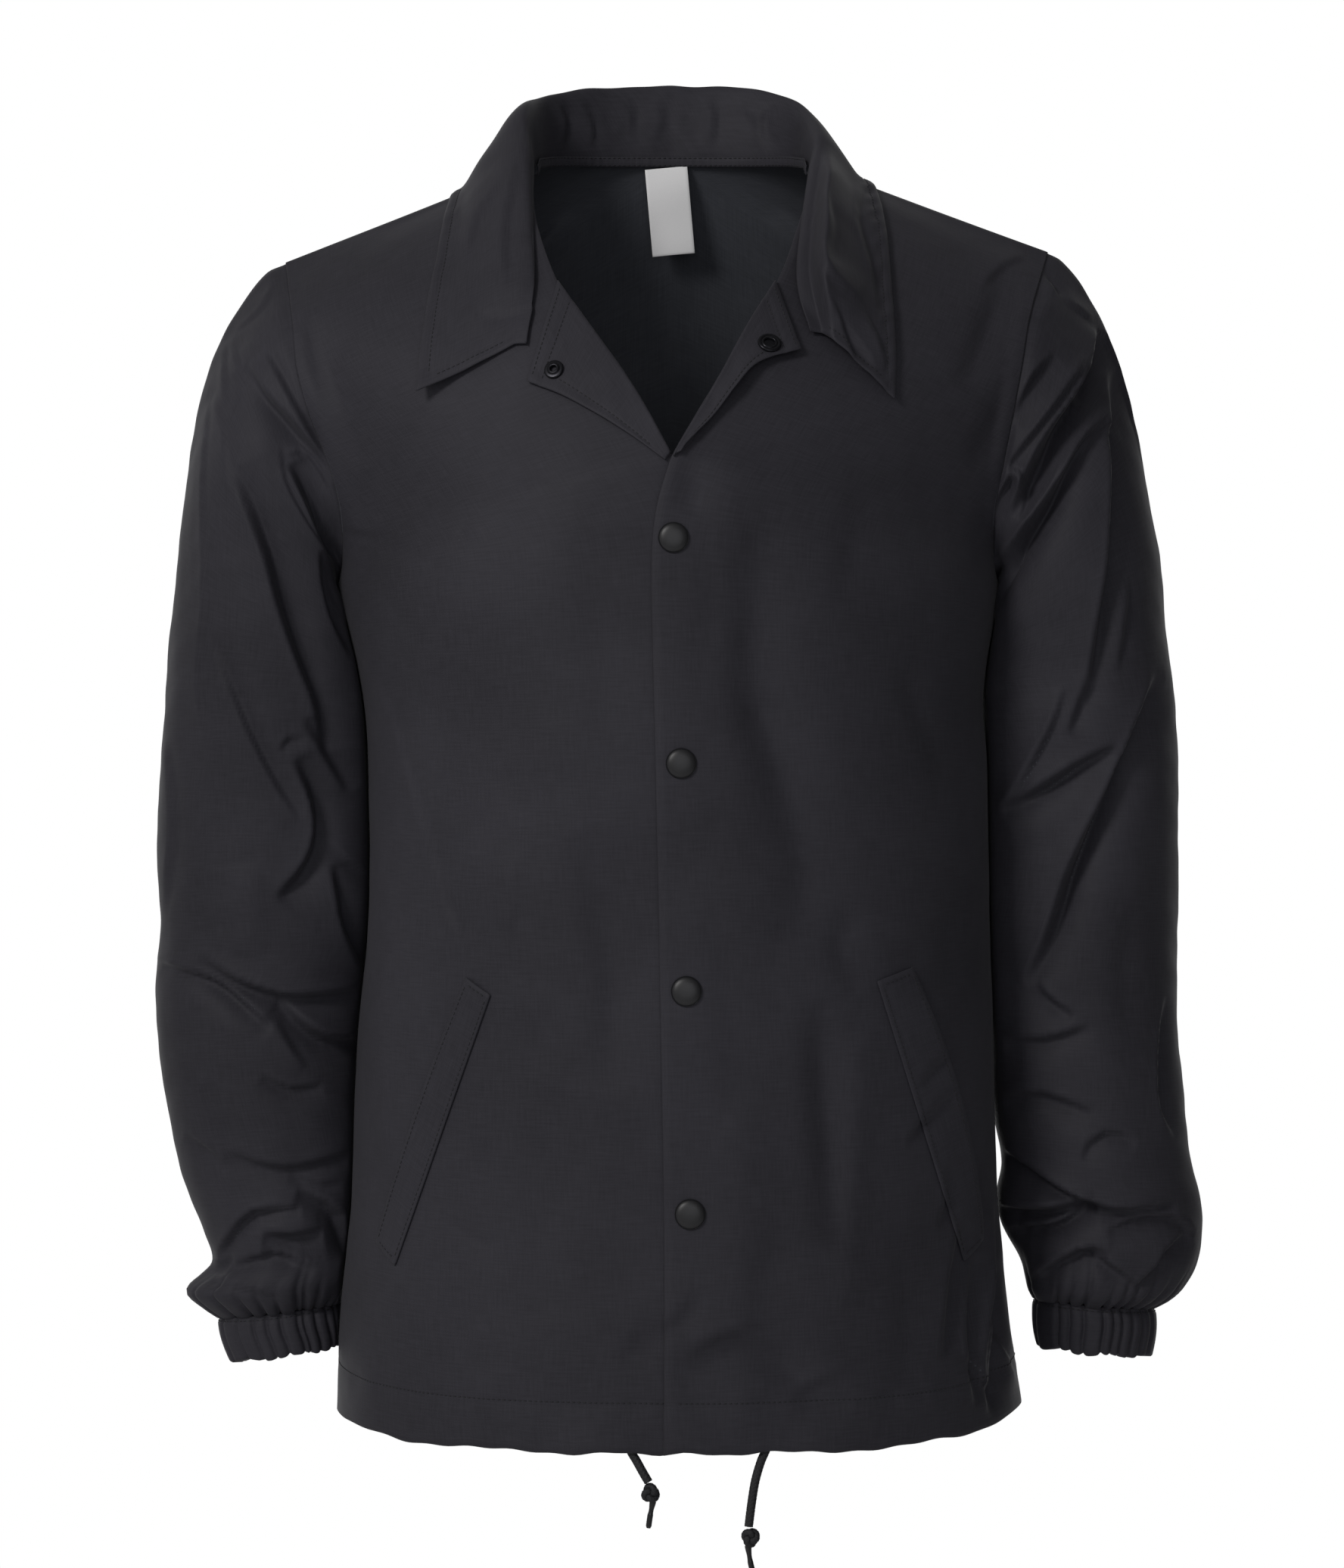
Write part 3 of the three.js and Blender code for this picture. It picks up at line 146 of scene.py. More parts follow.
def nylon_taffeta(name, dark, light, roughness):
    """Calendered nylon taffeta, between two close shades of one dye."""
    material, shader = new_material(name)
    grain = add_node(material, "ShaderNodeUVMap").outputs[0]
    place = add_node(material, "ShaderNodeTexCoord").outputs["Object"]
    streaks = []
    for stretch in STREAK_STRETCHES:
        along = add_node(material, "ShaderNodeMapping", {"Scale": stretch}, {"Vector": grain})
        streaks.append(add_node(
            material, "ShaderNodeTexNoise", {"Scale": 1, "Detail": 2}, {"Vector": along.outputs[0]}))
    yarns = []
    for direction in ("X", "Y"):
        yarns.append(add_node(
            material, "ShaderNodeTexWave",
            {"Scale": WAVE_PERIOD / WEAVE_PITCH, "Distortion": 0.6, "Detail": 1,
             "bands_direction": direction},
            {"Vector": grain}))
    weave = add_node(material, "ShaderNodeMath", {"operation": "MULTIPLY"},
                     {0: yarns[0].outputs["Fac"], 1: yarns[1].outputs["Fac"]})
    slubs = add_node(material, "ShaderNodeMath", {"operation": "ADD"},
                     {0: streaks[0].outputs["Fac"], 1: streaks[1].outputs["Fac"]})
    surface = add_node(material, "ShaderNodeMath", {"operation": "MULTIPLY_ADD", 1: 0.35},
                       {0: weave.outputs[0], 2: slubs.outputs[0]})
    clouds = add_node(material, "ShaderNodeTexNoise", {"Scale": CLOUD_SCALE, "Detail": 3},
                      {"Vector": place})
    shade = add_node(material, "ShaderNodeMath", {"operation": "MULTIPLY_ADD", 1: 0.55},
                     {0: slubs.outputs[0], 2: clouds.outputs["Fac"]})
    colour = add_node(material, "ShaderNodeMapRange",
                      {"From Min": 0.7, "From Max": 1.4}, {"Value": shade.outputs[0]})
    dye = add_node(material, "ShaderNodeMix",
                   {"data_type": "RGBA", 6: linear(dark), 7: linear(light)},
                   {0: colour.outputs[0]})
    crumple = add_node(material, "ShaderNodeTexNoise",
                       {"Scale": CRUMPLE_SCALE, "Detail": 3, "Roughness": 0.45}, {"Vector": place})
    soft = add_node(material, "ShaderNodeBump", {"Strength": 0.35, "Distance": CRUMPLE_DEPTH},
                    {"Height": crumple.outputs["Fac"]})
    fine = add_node(material, "ShaderNodeBump", {"Strength": 0.5, "Distance": YARN_DEPTH},
                    {"Height": surface.outputs[0], "Normal": soft.outputs[0]})
    gloss = add_node(material, "ShaderNodeMapRange",
                     {"To Min": roughness - 0.05, "To Max": roughness + 0.07},
                     {"Value": streaks[0].outputs["Fac"]})
    wire(material, shader, Base_Color=dye.outputs[2], Normal=fine.outputs[0],
         Roughness=gloss.outputs[0])
    shader.inputs["IOR"].default_value = NYLON_IOR
    shader.inputs["Specular IOR Level"].default_value = NYLON_SPECULAR
    shader.inputs["Sheen Weight"].default_value = NYLON_SHEEN
    shader.inputs["Sheen Roughness"].default_value = 0.4
    return material


NYLON = nylon_taffeta("nylon_taffeta_calendered", "#2a292e", "#38373d", 0.6)
TAPE_NYLON = nylon_taffeta("nylon_tape_pressed", "#2c2b30", "#3a393f", 0.64)
# Painted light: the inner side is painted paler than the outer side to stand in for light inside the jacket;
# its cooler tone is the clear coat.
COATED_SIDE_WITH_PAINTED_LIGHT = nylon_taffeta("nylon_taffeta_coated_side_painted_light", "#3a3c41", "#494b51", 0.5)
print("nylon materials:", NYLON.name, TAPE_NYLON.name)

# %% [markdown]
# The small parts have plainer surfaces. Snap caps are stamped brass under matt black stoving
# paint: dark, with a wide soft highlight. The thread is spun polyester, duller than the cloth,
# so it reads as faint darker dots. The label is woven polyester satin, nearly white. Cord and
# tips are black, one braided and dull, one dipped in lacquer and a little glossy.

# %% Small finishes
def plain_finish(name, dark, light, roughness, grain_mm, depth_mm, metallic=0.0):
    """A finish with fine grain: two close shades and a bump, grain_mm across, depth_mm deep."""
    material, shader = new_material(name)
    place = add_node(material, "ShaderNodeTexCoord").outputs["Object"]
    grain = add_node(material, "ShaderNodeTexNoise", {"Scale": 1 / (grain_mm * MM), "Detail": 3},
                     {"Vector": place})
    dye = add_node(material, "ShaderNodeMix",
                   {"data_type": "RGBA", 6: linear(dark), 7: linear(light)},
                   {0: grain.outputs["Fac"]})
    bump = add_node(material, "ShaderNodeBump", {"Strength": 0.6, "Distance": depth_mm * MM},
                    {"Height": grain.outputs["Fac"]})
    wire(material, shader, Base_Color=dye.outputs[2], Normal=bump.outputs[0])
    shader.inputs["Roughness"].default_value = roughness
    shader.inputs["Metallic"].default_value = metallic
    return material


PAINTED_BRASS = plain_finish("brass_painted_matt_black", "#101012", "#17171a", 0.42, 0.9, 0.02)
BARE_RIM = plain_finish("brass_blackened", "#1d1d20", "#2a2a2e", 0.3, 0.6, 0.01, 0.9)
SPUN_THREAD = plain_finish("polyester_thread_spun", "#151518", "#212125", 0.75, 0.5, 0.05)
LABEL_SATIN = plain_finish("polyester_satin_woven", "#e9e9ea", "#f6f6f6", 0.5, 0.5, 0.02)
BRAIDED_CORD = plain_finish("polyester_cord_braided", "#0d0d0f", "#1c1c20", 0.7, 0.5, 0.06)
LACQUER_TIP = plain_finish("cord_tip_lacquered", "#0b0b0c", "#161618", 0.32, 1.2, 0.02)

# %% [markdown]
# Every piece below is a grid of points in millimetres. These tools turn a grid to a mesh: the
# faces between its rows and columns, its normals, and a thin wall with a rounded rim, which is
# how a folded cloth edge looks. Building the wall in arrays keeps it exactly as thick as asked
# everywhere, also where a Solidify modifier would pinch a tight fold.

# %% Grid and wall tools
def unit(vectors):
    """Vectors scaled to length one."""
    return vectors / np.maximum(np.linalg.norm(vectors, axis=-1, keepdims=True), 1e-9)


def grid_faces(rows, columns, wraps=False):
    """The corner numbers of each face of a grid."""
    across = columns if wraps else columns - 1
    row, column = np.meshgrid(np.arange(rows - 1), np.arange(across), indexing="ij")
    low = row * columns
    ahead = (column + 1) % columns
    faces = np.stack([low + column, low + ahead, low + columns + ahead, low + columns + column], -1)
    return faces.reshape(-1, 4)


def grid_normals(points, wraps=False):
    """Normals of a grid, square to its rows and columns."""
    if wraps:
        across = np.roll(points, -1, axis=1) - np.roll(points, 1, axis=1)
    else:
        across = np.gradient(points, axis=1)
    return unit(np.cross(across, np.gradient(points, axis=0)))


def face_normals(points, faces):
    """The normal of each four-sided face, as long as twice its area."""
    a, b, c, d = (points[faces[:, k]] for k in range(4))
    return np.cross(c - a, d - b)


def point_normals(points, faces):
    """Normals of a list of points, averaged over the faces round each."""
    square = face_normals(points, faces)
    normals = np.zeros_like(points)
    for k in range(4):
        np.add.at(normals, faces[:, k], square)
    return unit(normals)


def wall_of(points, faces, thickness):
    """A closed wall: the sheet, a second one behind it, and a rounded rim round every edge."""
    normals = point_normals(points, faces)
    count = len(points)
    inner = points - normals * np.broadcast_to(np.reshape(thickness, (-1, 1)), (count, 1))
    starts = faces.ravel()
    ends = np.roll(faces, -1, axis=1).ravel()
    middles = np.repeat(points[faces].mean(axis=1), 4, axis=0)
    open_edge = ~np.isin(starts * count + ends, ends * count + starts)
    a, b, middle = starts[open_edge], ends[open_edge], middles[open_edge]
    outward = np.zeros_like(points)
    away = unit((points[a] + points[b]) / 2 - middle)
    np.add.at(outward, a, away)
    np.add.at(outward, b, away)
    edge = np.unique(np.concatenate([a, b]))
    out = outward[edge]
    out = unit(out - normals[edge] * (out * normals[edge]).sum(-1, keepdims=True))
    depth = np.linalg.norm(points[edge] - inner[edge], axis=-1, keepdims=True)
    rim = (points[edge] + inner[edge]) / 2 + out * depth / 2
    rim_number = np.zeros(count, int)
    rim_number[edge] = 2 * count + np.arange(len(edge))
    back = faces[:, ::-1] + count
    near = np.stack([b, a, rim_number[a], rim_number[b]], -1)
    far = np.stack([rim_number[b], rim_number[a], a + count, b + count], -1)
    return np.concatenate([points, inner, rim]), np.concatenate([faces, back, near, far])


def add_piece(name, points, faces, material, flat_map=None):
    """A mesh object from points in millimetres, smooth, with its material and cut-cloth map."""
    mesh = bpy.data.meshes.new(name)
    faces = faces.tolist() if isinstance(faces, np.ndarray) else faces
    mesh.from_pydata((np.asarray(points) * MM).tolist(), [], faces)
    mesh.update()
    mesh.shade_smooth()
    mesh.materials.append(material)
    if flat_map is None:
        mesh.set_sharp_from_angle(angle=math.radians(70))
    else:
        corners = np.zeros(len(mesh.loops), int)
        mesh.loops.foreach_get("vertex_index", corners)
        layer = mesh.uv_layers.new(name="cut_cloth")
        layer.data.foreach_set("uv", (flat_map[corners] * MM).astype(np.float32).ravel())
    piece = bpy.data.objects.new(name, mesh)
    bpy.context.scene.collection.objects.link(piece)
    return piece


def set_in_place(piece, slot, *nodes):
    """The piece rides on the jacket and stands for its CAD nodes, which it hides. slot is not used."""
    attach(piece, "root")
    if nodes:
        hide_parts(*nodes)
    return piece


# %% [markdown]
# The drawcord comes first of all pieces, as its length and its lay are facts. It is a 4.6 mm
# braided polyester cord, limp, that runs hidden in the hem. Each end slips out behind the hem
# and hangs by its own weight to a knot and a lacquered tip. The braid is real relief: two sets
# of strands wind round the core in opposite ways, and whichever is on top shows.

# %% Cord tools
CORD_RADIUS = 2.3
BRAID_STRANDS = 5
BRAID_PITCH = 11.0
BRAID_DEPTH = 0.22
FIRST_SIDE = (0.3, 1, 0.1)


def smooth_line(corners, spacing):
    """A smooth curve through the corners, with a point for each spacing."""
    corners = np.array(corners, float)
    padded = np.vstack([2 * corners[0] - corners[1], corners, 2 * corners[-1] - corners[-2]])
    line = []
    for i in range(1, len(padded) - 2):
        a, b, c, d = padded[i - 1:i + 3]
        for u in np.linspace(0, 1, 24, endpoint=False):
            line.append(0.5 * (2 * b + (c - a) * u + (2 * a - 5 * b + 4 * c - d) * u * u
                               + (3 * b - a - 3 * c + d) * u ** 3))
    line.append(corners[-1])
    return even_line(np.array(line), spacing)


def way_along(line):
    """How far along a line each of its points is."""
    return np.concatenate([[0], np.cumsum(np.linalg.norm(np.diff(line, axis=0), axis=1))])


def even_line(line, spacing):
    """A line's points set evenly, at about the spacing asked."""
    reach = way_along(line)
    count = max(2, int(round(reach[-1] / spacing)) + 1)
    places = np.linspace(0, reach[-1], count)
    return np.stack([np.interp(places, reach, line[:, k]) for k in range(3)], -1)


def line_length(line):
    """The length of a line of points."""
    return float(np.linalg.norm(np.diff(line, axis=0), axis=1).sum())


def tube(line, radius, sides, braid=0.0):
    """A round tube along a line, closed at its ends. braid is the depth of its strand relief."""
    tangents = unit(np.gradient(line, axis=0))
    side = unit(np.cross(tangents[0], FIRST_SIDE))
    reach = way_along(line)
    angles = np.linspace(0, 2 * math.pi, sides, endpoint=False)
    radii = np.broadcast_to(radius, (len(line),))
    rings = []
    for k, tangent in enumerate(tangents):
        side = unit(side - tangent * (side @ tangent))
        up = np.cross(tangent, side)
        wind = 2 * math.pi * reach[k] / BRAID_PITCH * BRAID_STRANDS
        strands = np.maximum(np.cos(BRAID_STRANDS * angles + wind),
                             np.cos(BRAID_STRANDS * angles - wind))
        ring = (radii[k] + braid * (strands - 0.6))[:, None]
        rings.append(line[k] + ring * (np.cos(angles)[:, None] * side + np.sin(angles)[:, None] * up))
    points = np.array(rings).reshape(-1, 3)
    faces = grid_faces(len(line), sides, wraps=True)
    caps = [list(range(sides))[::-1], [len(points) - sides + k for k in range(sides)]]
    return points, faces.tolist() + caps


# %% [markdown]
# The routes repeat the points of the CAD cords. Their depth comes from the CAD piece itself,
# which hangs just inside the hem. A knot is a loop of the same cord pulled tight, so a small
# trefoil of braided tube gives its lobes, and a thin lacquered tail runs out of it.

# %% Drawcord ends
CORD_ROUTES = {
    RIGHT: [(-24, 0, -698), (-24, 0, -704), (-22.5, 0, -711), (-19, -1, -717),
            (-15.5, -3, -723), (-12.5, -4, -728)],
    LEFT: [(52, 0, -697), (52, 0, -704), (50.5, 0, -711), (47.5, -1, -718),
           (44.5, -3, -728), (42.5, -4, -740), (41, -4, -752)],
}
TAILS = {RIGHT: [(-10.2, -739.8), (-12.6, -752.5)], LEFT: [(40.6, -763.8), (44, -779)]}
CORD_SPACING = 0.35
CORD_SIDES = 30
KNOT_SIZE = (5.2, 4.4, 5.6)
KNOT_TUBE = 1.9
KNOT_SIDES = 18
TIP_RADIUS = 1.55
TIP_SIDES = 20


def tip_radii(count):
    """A lacquered tip's radius along it: uneven near the knot, rounded off at the end."""
    share = np.linspace(0, 1, count)
    dips = 0.25 * np.cos(share * 9) * (share < 0.5)
    return TIP_RADIUS + dips - 6.25 * np.clip(share - 0.92, 0, 1)


def knot_line(centre, turn):
    """A closed trefoil that fills the knot's size, its tube included."""
    t = np.linspace(0, 2 * math.pi, 160)
    line = np.stack([(2 + np.cos(3 * t)) * np.cos(2 * t) / 3,
                     np.sin(3 * t) * 0.8,
                     (2 + np.cos(3 * t)) * np.sin(2 * t) / 3], -1)
    c, s = math.cos(turn), math.sin(turn)
    line = line @ np.array([[c, 0, s], [0, 1, 0], [-s, 0, c]])
    return np.array(centre) + line * (np.array(KNOT_SIZE) - KNOT_TUBE)


def cord_end(side):
    """One end of the drawcord: the cord, its knot and its tip."""
    name = NAMES[side]
    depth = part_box(f"cord_{name}")[1].y / MM - CORD_RADIUS
    route = [(x, depth + y, z) for x, y, z in CORD_ROUTES[side]]
    line = smooth_line(route, CORD_SPACING)
    cord_tube = tube(line, CORD_RADIUS, CORD_SIDES, BRAID_DEPTH)
    cord = add_piece(f"drawcord_{name}", *cord_tube, BRAIDED_CORD)
    end = line[-1]
    centre = (end[0] + 1, end[1], end[2] - KNOT_SIZE[2] - 0.3)
    knot_tube = tube(knot_line(centre, 0.5 * side), KNOT_TUBE, KNOT_SIDES, BRAID_DEPTH)
    knot = add_piece(f"drawcord_knot_{name}", *knot_tube, BRAIDED_CORD)
    (top_x, top_z), (low_x, low_z) = TAILS[side]
    middle = ((top_x + low_x) / 2 - 0.3, end[1], (top_z + low_z) / 2)
    tail = smooth_line([(top_x, end[1], top_z + 1.5), middle, (low_x, end[1], low_z)], 0.4)
    tip = add_piece(f"drawcord_tip_{name}", *tube(tail, tip_radii(len(tail)), TIP_SIDES), LACQUER_TIP)
    set_in_place(cord, "cord", f"cord_{name}")
    set_in_place(knot, "cord", f"knot_{name}")
    set_in_place(tip, "tip", f"tip_{name}")
    print(cord.name, "length in mm:", round(line_length(line), 1))


for side in (RIGHT, LEFT):
    cord_end(side)

# %% [markdown]
# Now the pattern. A table gives a few sizes at a few places, and a smooth reading between its
# rows gives the size anywhere. The body table has a row for each level from hem to armpit:
# half widths, the depth of the front and back middles, and where the side seam lies.

# %% Reading a table
def table(columns, *rows):
    """Rows of numbers with a name for each column."""
    return {name: np.array(values, float) for name, values in zip(columns.split(), zip(*rows))}


def read(source, key, column, value):
    """One column at any value of the key, along a smooth curve."""
    x, y = source[key], source[column]
    value = np.clip(np.asarray(value, float), x[0], x[-1])
    i = np.clip(np.searchsorted(x, value, side="left") - 1, 0, len(x) - 2)
    after = np.minimum(np.arange(len(x)) + 1, len(x) - 1)
    before = np.maximum(np.arange(len(x)) - 1, 0)
    slope = (y[after] - y[before]) / (x[after] - x[before])
    span = x[i + 1] - x[i]
    u = (value - x[i]) / span
    bend = span * u * (1 - u) * ((1 - u) * slope[i] - u * slope[i + 1])
    return y[i] + (y[i + 1] - y[i]) * u * u * (3 - 2 * u) + bend


def mix(a, b, share):
    """Between a and b, at a share of the way."""
    return a + (b - a) * share


def smooth(low, high, value):
    """0 below low, 1 above high, and an even rise between."""
    share = np.clip((value - low) / (high - low), 0, 1)
    return share * share * (3 - 2 * share)


def stack(x, y, z):
    """Three arrays as points."""
    return np.stack(np.broadcast_arrays(x, y, z), -1).astype(float)


# %% Body sizes
BODY = table(
    "z right left front back side",
    (-711, 190, 198, -158, 132, 0),
    (-655, 188.5, 191, -156, 134, 0),
    (-590, 181.5, 184.5, -153, 136, 0),
    (-500, 178.5, 182, -150, 136, 0),
    (-420, 171.5, 179.5, -149, 134, 0),
    (-340, 172.5, 178.4, -150, 134, 2),
    (-300, 176, 177, -149.5, 134, 5),
    (-246, 189, 186, -148, 132, 10),
)
ROUNDNESS = 2.25
SPREAD = 0.889
HEM_SIDE = {RIGHT: -706, LEFT: -703}
HEM_MIDDLE = {-1: -712, 1: -707}
ARMPIT = -246
PLACKET = table(
    "z over under",
    (-711, -4, 31), (-585, -4, 29), (-466, -6, 27), (-344, -8.5, 24), (-246, -11, 21),
)
PLACKET_TOP = table(
    "t over under y z",
    (0, -11, 21, -148, -246), (0.091, -11, 19, -147.2, -214), (0.182, 0, 0, -146, -179),
)
FRONT_NECK = table(
    "t x y z",
    (0.182, 0, -146, -179), (0.36, 26, -121, -134), (0.54, 58, -90, -89),
    (0.72, 75, -48, -45), (0.88, 79, -12, -14), (1, 78, 16, 0),
)
BACK_MIDDLE = table(
    "t x y z",
    (0, 0, 132, -246), (0.22, 0, 128, -178), (0.4, 0, 118, -108), (0.53, 0, 100, -46),
    (0.636, 0, 78, 9),
)
BACK_NECK = table(
    "t x y z",
    (0.636, 0, 78, 9), (0.727, 25, 76, 8.7), (0.818, 48, 67, 7.6), (0.909, 68, 46, 5),
    (1, 78, 16, 0),
)
ARMHOLE = {
    -1: table(
        "t x y z",
        (0, 190, 10, -246), (0.132, 186, -20, -233), (0.277, 185, -42, -205),
        (0.385, 190, -50, -180), (0.524, 202, -54, -148), (0.634, 209, -50, -122),
        (0.745, 212, -38, -96), (1, 220, 10, -57),
    ),
    1: table(
        "t x y z",
        (0, 190, 10, -246), (0.15, 188, 45, -232), (0.348, 190, 72, -190),
        (0.571, 200, 78, -135), (0.776, 212, 55, -90), (1, 220, 10, -57),
    ),
}
ARMHOLE_CENTRE = (10, -150)
LEFT_ARMHOLE_RISE = 6
LEFT_ARMHOLE_IN = table(
    "t front back",
    (0, 3, 3), (0.277, 5, 3), (0.385, 6, 3), (0.524, 12, 3), (0.634, 14, 4), (0.745, 12, 5),
    (1, 6, 6),
)
LEFT_NECK_IN = 5
BACK_BULGE = table("t depth", (0, 0), (0.3, 6), (0.6, 18), (0.82, 10), (1, 0))
print("body rows:", len(BODY["z"]), "armhole rows:", len(ARMHOLE[-1]["t"]))

# %% [markdown]
# Crisp nylon folds over its own weight: the cloth hangs out above a fold, drops in steeply and
# comes back slowly below, so a narrow fold has one sharp side and one soft one. A wide fold is
# soft on both sides. Each fold below is a path in front view with a width and a depth: a trough
# is negative, a ridge positive, and both run out at their ends. The relief goes in or out along
# the cloth's normals, only on faces that look forwards or backwards as the fold asks. On the
# body it leans forwards or backwards, so that a fold near a side doesn't widen the jacket.

# %% Fold tools
STEEP_SIDE = (-0.55, 0.84)
LIP = 0.3
LIP_PLACE = 0.62
SOFT_WIDTH = 10
PATH_SPACING = 9.0
TURNED_FADE = 2.6
RIPPLES = 12


def fold_distance(corners, x, z):
    """Distance from a fold's path, positive on its upper side, and how far along it, 0 to 1."""
    path = smooth_line([(px, 0, pz) for px, pz in corners], PATH_SPACING)[:, [0, 2]]
    steps = np.linalg.norm(np.diff(path, axis=0), axis=1)
    reach = np.concatenate([[0], np.cumsum(steps)]) / steps.sum()
    whole = path[-1] - path[0]
    upper = 1 if STEEP_SIDE[1] * whole[0] - STEEP_SIDE[0] * whole[1] > 0 else -1
    best = np.full(x.shape, 1e9)
    along = np.zeros(x.shape)
    for i, step in enumerate(steps):
        ax, az = path[i]
        dx, dz = (path[i + 1] - path[i]) / step
        share = np.clip(((x - ax) * dx + (z - az) * dz) / step, 0, 1)
        offset_x, offset_z = x - ax - share * step * dx, z - az - share * step * dz
        distance = np.hypot(offset_x, offset_z)
        nearer = distance < np.abs(best)
        on_left = np.where(offset_z * dx - offset_x * dz < 0, -upper, upper)
        best = np.where(nearer, distance * on_left, best)
        along = np.where(nearer, mix(reach[i], reach[i + 1], share), along)
    return best, along


def fold_profile(distance, width, depth):
    """A fold's section: steep up to a lip on one side, slow on the other, or soft if wide."""
    d = distance * (1 if depth < 0 else -1) / width
    if width >= SOFT_WIDTH:
        return depth * np.where(d > 0, np.exp(-(d / 0.8) ** 2), np.exp(-np.abs(d / 1.2) ** 1.5))
    wall = mix(1, -LIP, smooth(0, LIP_PLACE, d))
    lip = -LIP * np.exp(-(d - LIP_PLACE) / 0.6)
    slow = np.exp(-np.abs(d / 1.05) ** 1.35)
    return depth * np.where(d > LIP_PLACE, lip, np.where(d > 0, wall, slow))


def fold_relief(folds, face, points, normals):
    """How far the folds move each point along its normal."""
    relief = np.zeros(points.shape[:-1])
    turned = np.clip(face * normals[..., 1] * TURNED_FADE, 0, 1)
    x, z = points[..., 0], points[..., 2]
    for corners, width, depth in folds:
        distance, along = fold_distance(corners, x, z)
        taper = np.sin(math.pi * np.clip(along, 0, 1)) ** 0.6
        relief += taper * fold_profile(distance, width, depth)
    return relief * turned


def unevenness(points, depth, size, seed):
    """A gentle waviness with no direction, from a dozen crossing ripples. size is in mm."""
    chance = np.random.default_rng(seed)
    waves = np.zeros(points.shape[:-1])
    for _ in range(RIPPLES):
        direction = unit(chance.normal(size=3))
        waves += np.sin(points @ direction * 2 * math.pi / (size * chance.uniform(0.6, 1.6))
                        + chance.uniform(0, 6.3))
    return waves * depth / 3.5


# %% Folds of the body
FRONT_FOLDS = [
    ([(-203, -92), (-193, -120), (-183, -148), (-172, -178)], 13, -4.4),
    ([(-184, -213), (-168, -218), (-150, -216)], 5, -1.8),
    ([(-160, -297), (-148, -330), (-136, -368), (-124, -408), (-116, -434)], 8, -1.6),
    ([(-122, -418), (-117, -429), (-115, -440)], 7, -1.6),
    ([(-84, -392), (-86, -420), (-92, -446), (-100, -468)], 5, 1.2),
    ([(-155, -508), (-158, -536), (-156, -564)], 5, 1.1),
    ([(-45, -380), (-38, -420), (-30, -470), (-36, -520)], 15, -4.0),
    ([(-111, -214), (-114, -221), (-120, -228)], 4, -1.4),
    ([(-99, -182), (-95, -250), (-99, -345)], 19, -1.8),
    ([(-44, -220), (-36, -290), (-33, -360)], 17, -1.9),
    ([(-62, -520), (-69, -580), (-66, -645)], 18, -2.0),
    ([(-130, -470), (-133, -540), (-124, -600)], 17, -1.6),
    ([(-120, -590), (-108, -600), (-94, -602)], 5, -0.9),
    ([(-24, -668), (-14, -654), (-4, -643)], 10, -2.0),
    ([(6, -178), (12, -192), (9, -212)], 10, -3.0),
    ([(0, -676), (18, -665), (38, -659), (56, -664), (74, -679), (96, -689)], 11, -5.0),
    ([(8, -658), (24, -648), (44, -645)], 7, 2.0),
    ([(-6, -652), (6, -640), (16, -624)], 8, -1.8),
    ([(60, -684), (78, -674), (96, -668)], 7, 1.6),
    ([(190, -64), (181, -90), (172, -114), (160, -138)], 10, -4.0),
    ([(200, -54), (186, -61), (172, -75)], 7, 1.6),
    ([(190, -128), (180, -156), (166, -182)], 10, -2.6),
    ([(48, -214), (45, -300), (60, -350), (72, -400), (66, -444)], 17, -6.6),
    ([(100, -420), (92, -444), (104, -466)], 10, -2.6),
    ([(18, -216), (24, -260), (16, -310)], 14, -1.9),
    ([(104, -192), (101, -226), (94, -262)], 14, -2.6),
    ([(126, -290), (138, -322), (152, -352)], 10, -2.6),
    ([(148, -428), (154, -446), (150, -470)], 10, -2.0),
    ([(22, -420), (34, -470), (36, -540)], 16, -2.2),
    ([(80, -470), (84, -530), (90, -608)], 12, -5.6),
    ([(100, -490), (97, -560), (92, -640)], 12, 2.8),
    ([(128, -552), (140, -536), (154, -524)], 6, -2.6),
    ([(134, -520), (144, -508), (152, -500)], 5, -2.0),
    ([(146, -598), (152, -580), (150, -562)], 6, -2.4),
    ([(160, -596), (154, -632), (150, -668)], 8, -5),
    ([(178, -590), (177, -625), (173, -655), (170, -688)], 6, 6),
    ([(184, -622), (181, -660), (176, -702)], 7, -8),
    ([(168, -615), (165, -655), (168, -696)], 7, -6),
    ([(176, -652), (186, -672), (193, -694)], 5, 4),
    ([(158, -666), (168, -680), (182, -696)], 5, -3.4),
    ([(122, -600), (130, -645), (124, -690)], 12, -2.2),
    ([(60, -590), (50, -625), (54, -650)], 13, -1.8),
]
BACK_FOLDS = [
    ([(-95, -70), (-112, -120), (-120, -200), (-118, -330)], 19, -5.0),
    ([(92, -80), (110, -130), (118, -210), (122, -350)], 19, -5.0),
    ([(-200, -120), (-178, -170), (-150, -206)], 14, -5.5),
    ([(198, -120), (176, -172), (150, -212)], 14, -5.5),
    ([(-184, -214), (-166, -222), (-146, -220)], 6, -2.2),
    ([(186, -218), (168, -226), (150, -222)], 6, -2.2),
    ([(-30, -330), (-50, -400), (-66, -480), (-75, -560)], 17, -4.2),
    ([(48, -380), (58, -440), (63, -520), (60, -610)], 17, -4.2),
    ([(-150, -520), (-138, -580), (-134, -640), (-140, -690)], 14, -4.0),
    ([(148, -500), (136, -560), (140, -640), (150, -692)], 14, -3.8),
    ([(-12, -120), (-4, -200), (-10, -290)], 20, 2.6),
    ([(-160, -380), (-128, -400), (-92, -396)], 10, -2.4),
    ([(164, -410), (130, -428), (96, -420)], 10, -2.4),
    ([(-90, -640), (-40, -652), (10, -640)], 9, -2.8),
    ([(20, -668), (70, -660), (112, -672)], 8, -2.8),
    ([(-60, -20), (-84, -44), (-112, -56)], 9, -2.6),
    ([(62, -18), (88, -40), (118, -52)], 9, -2.6),
]
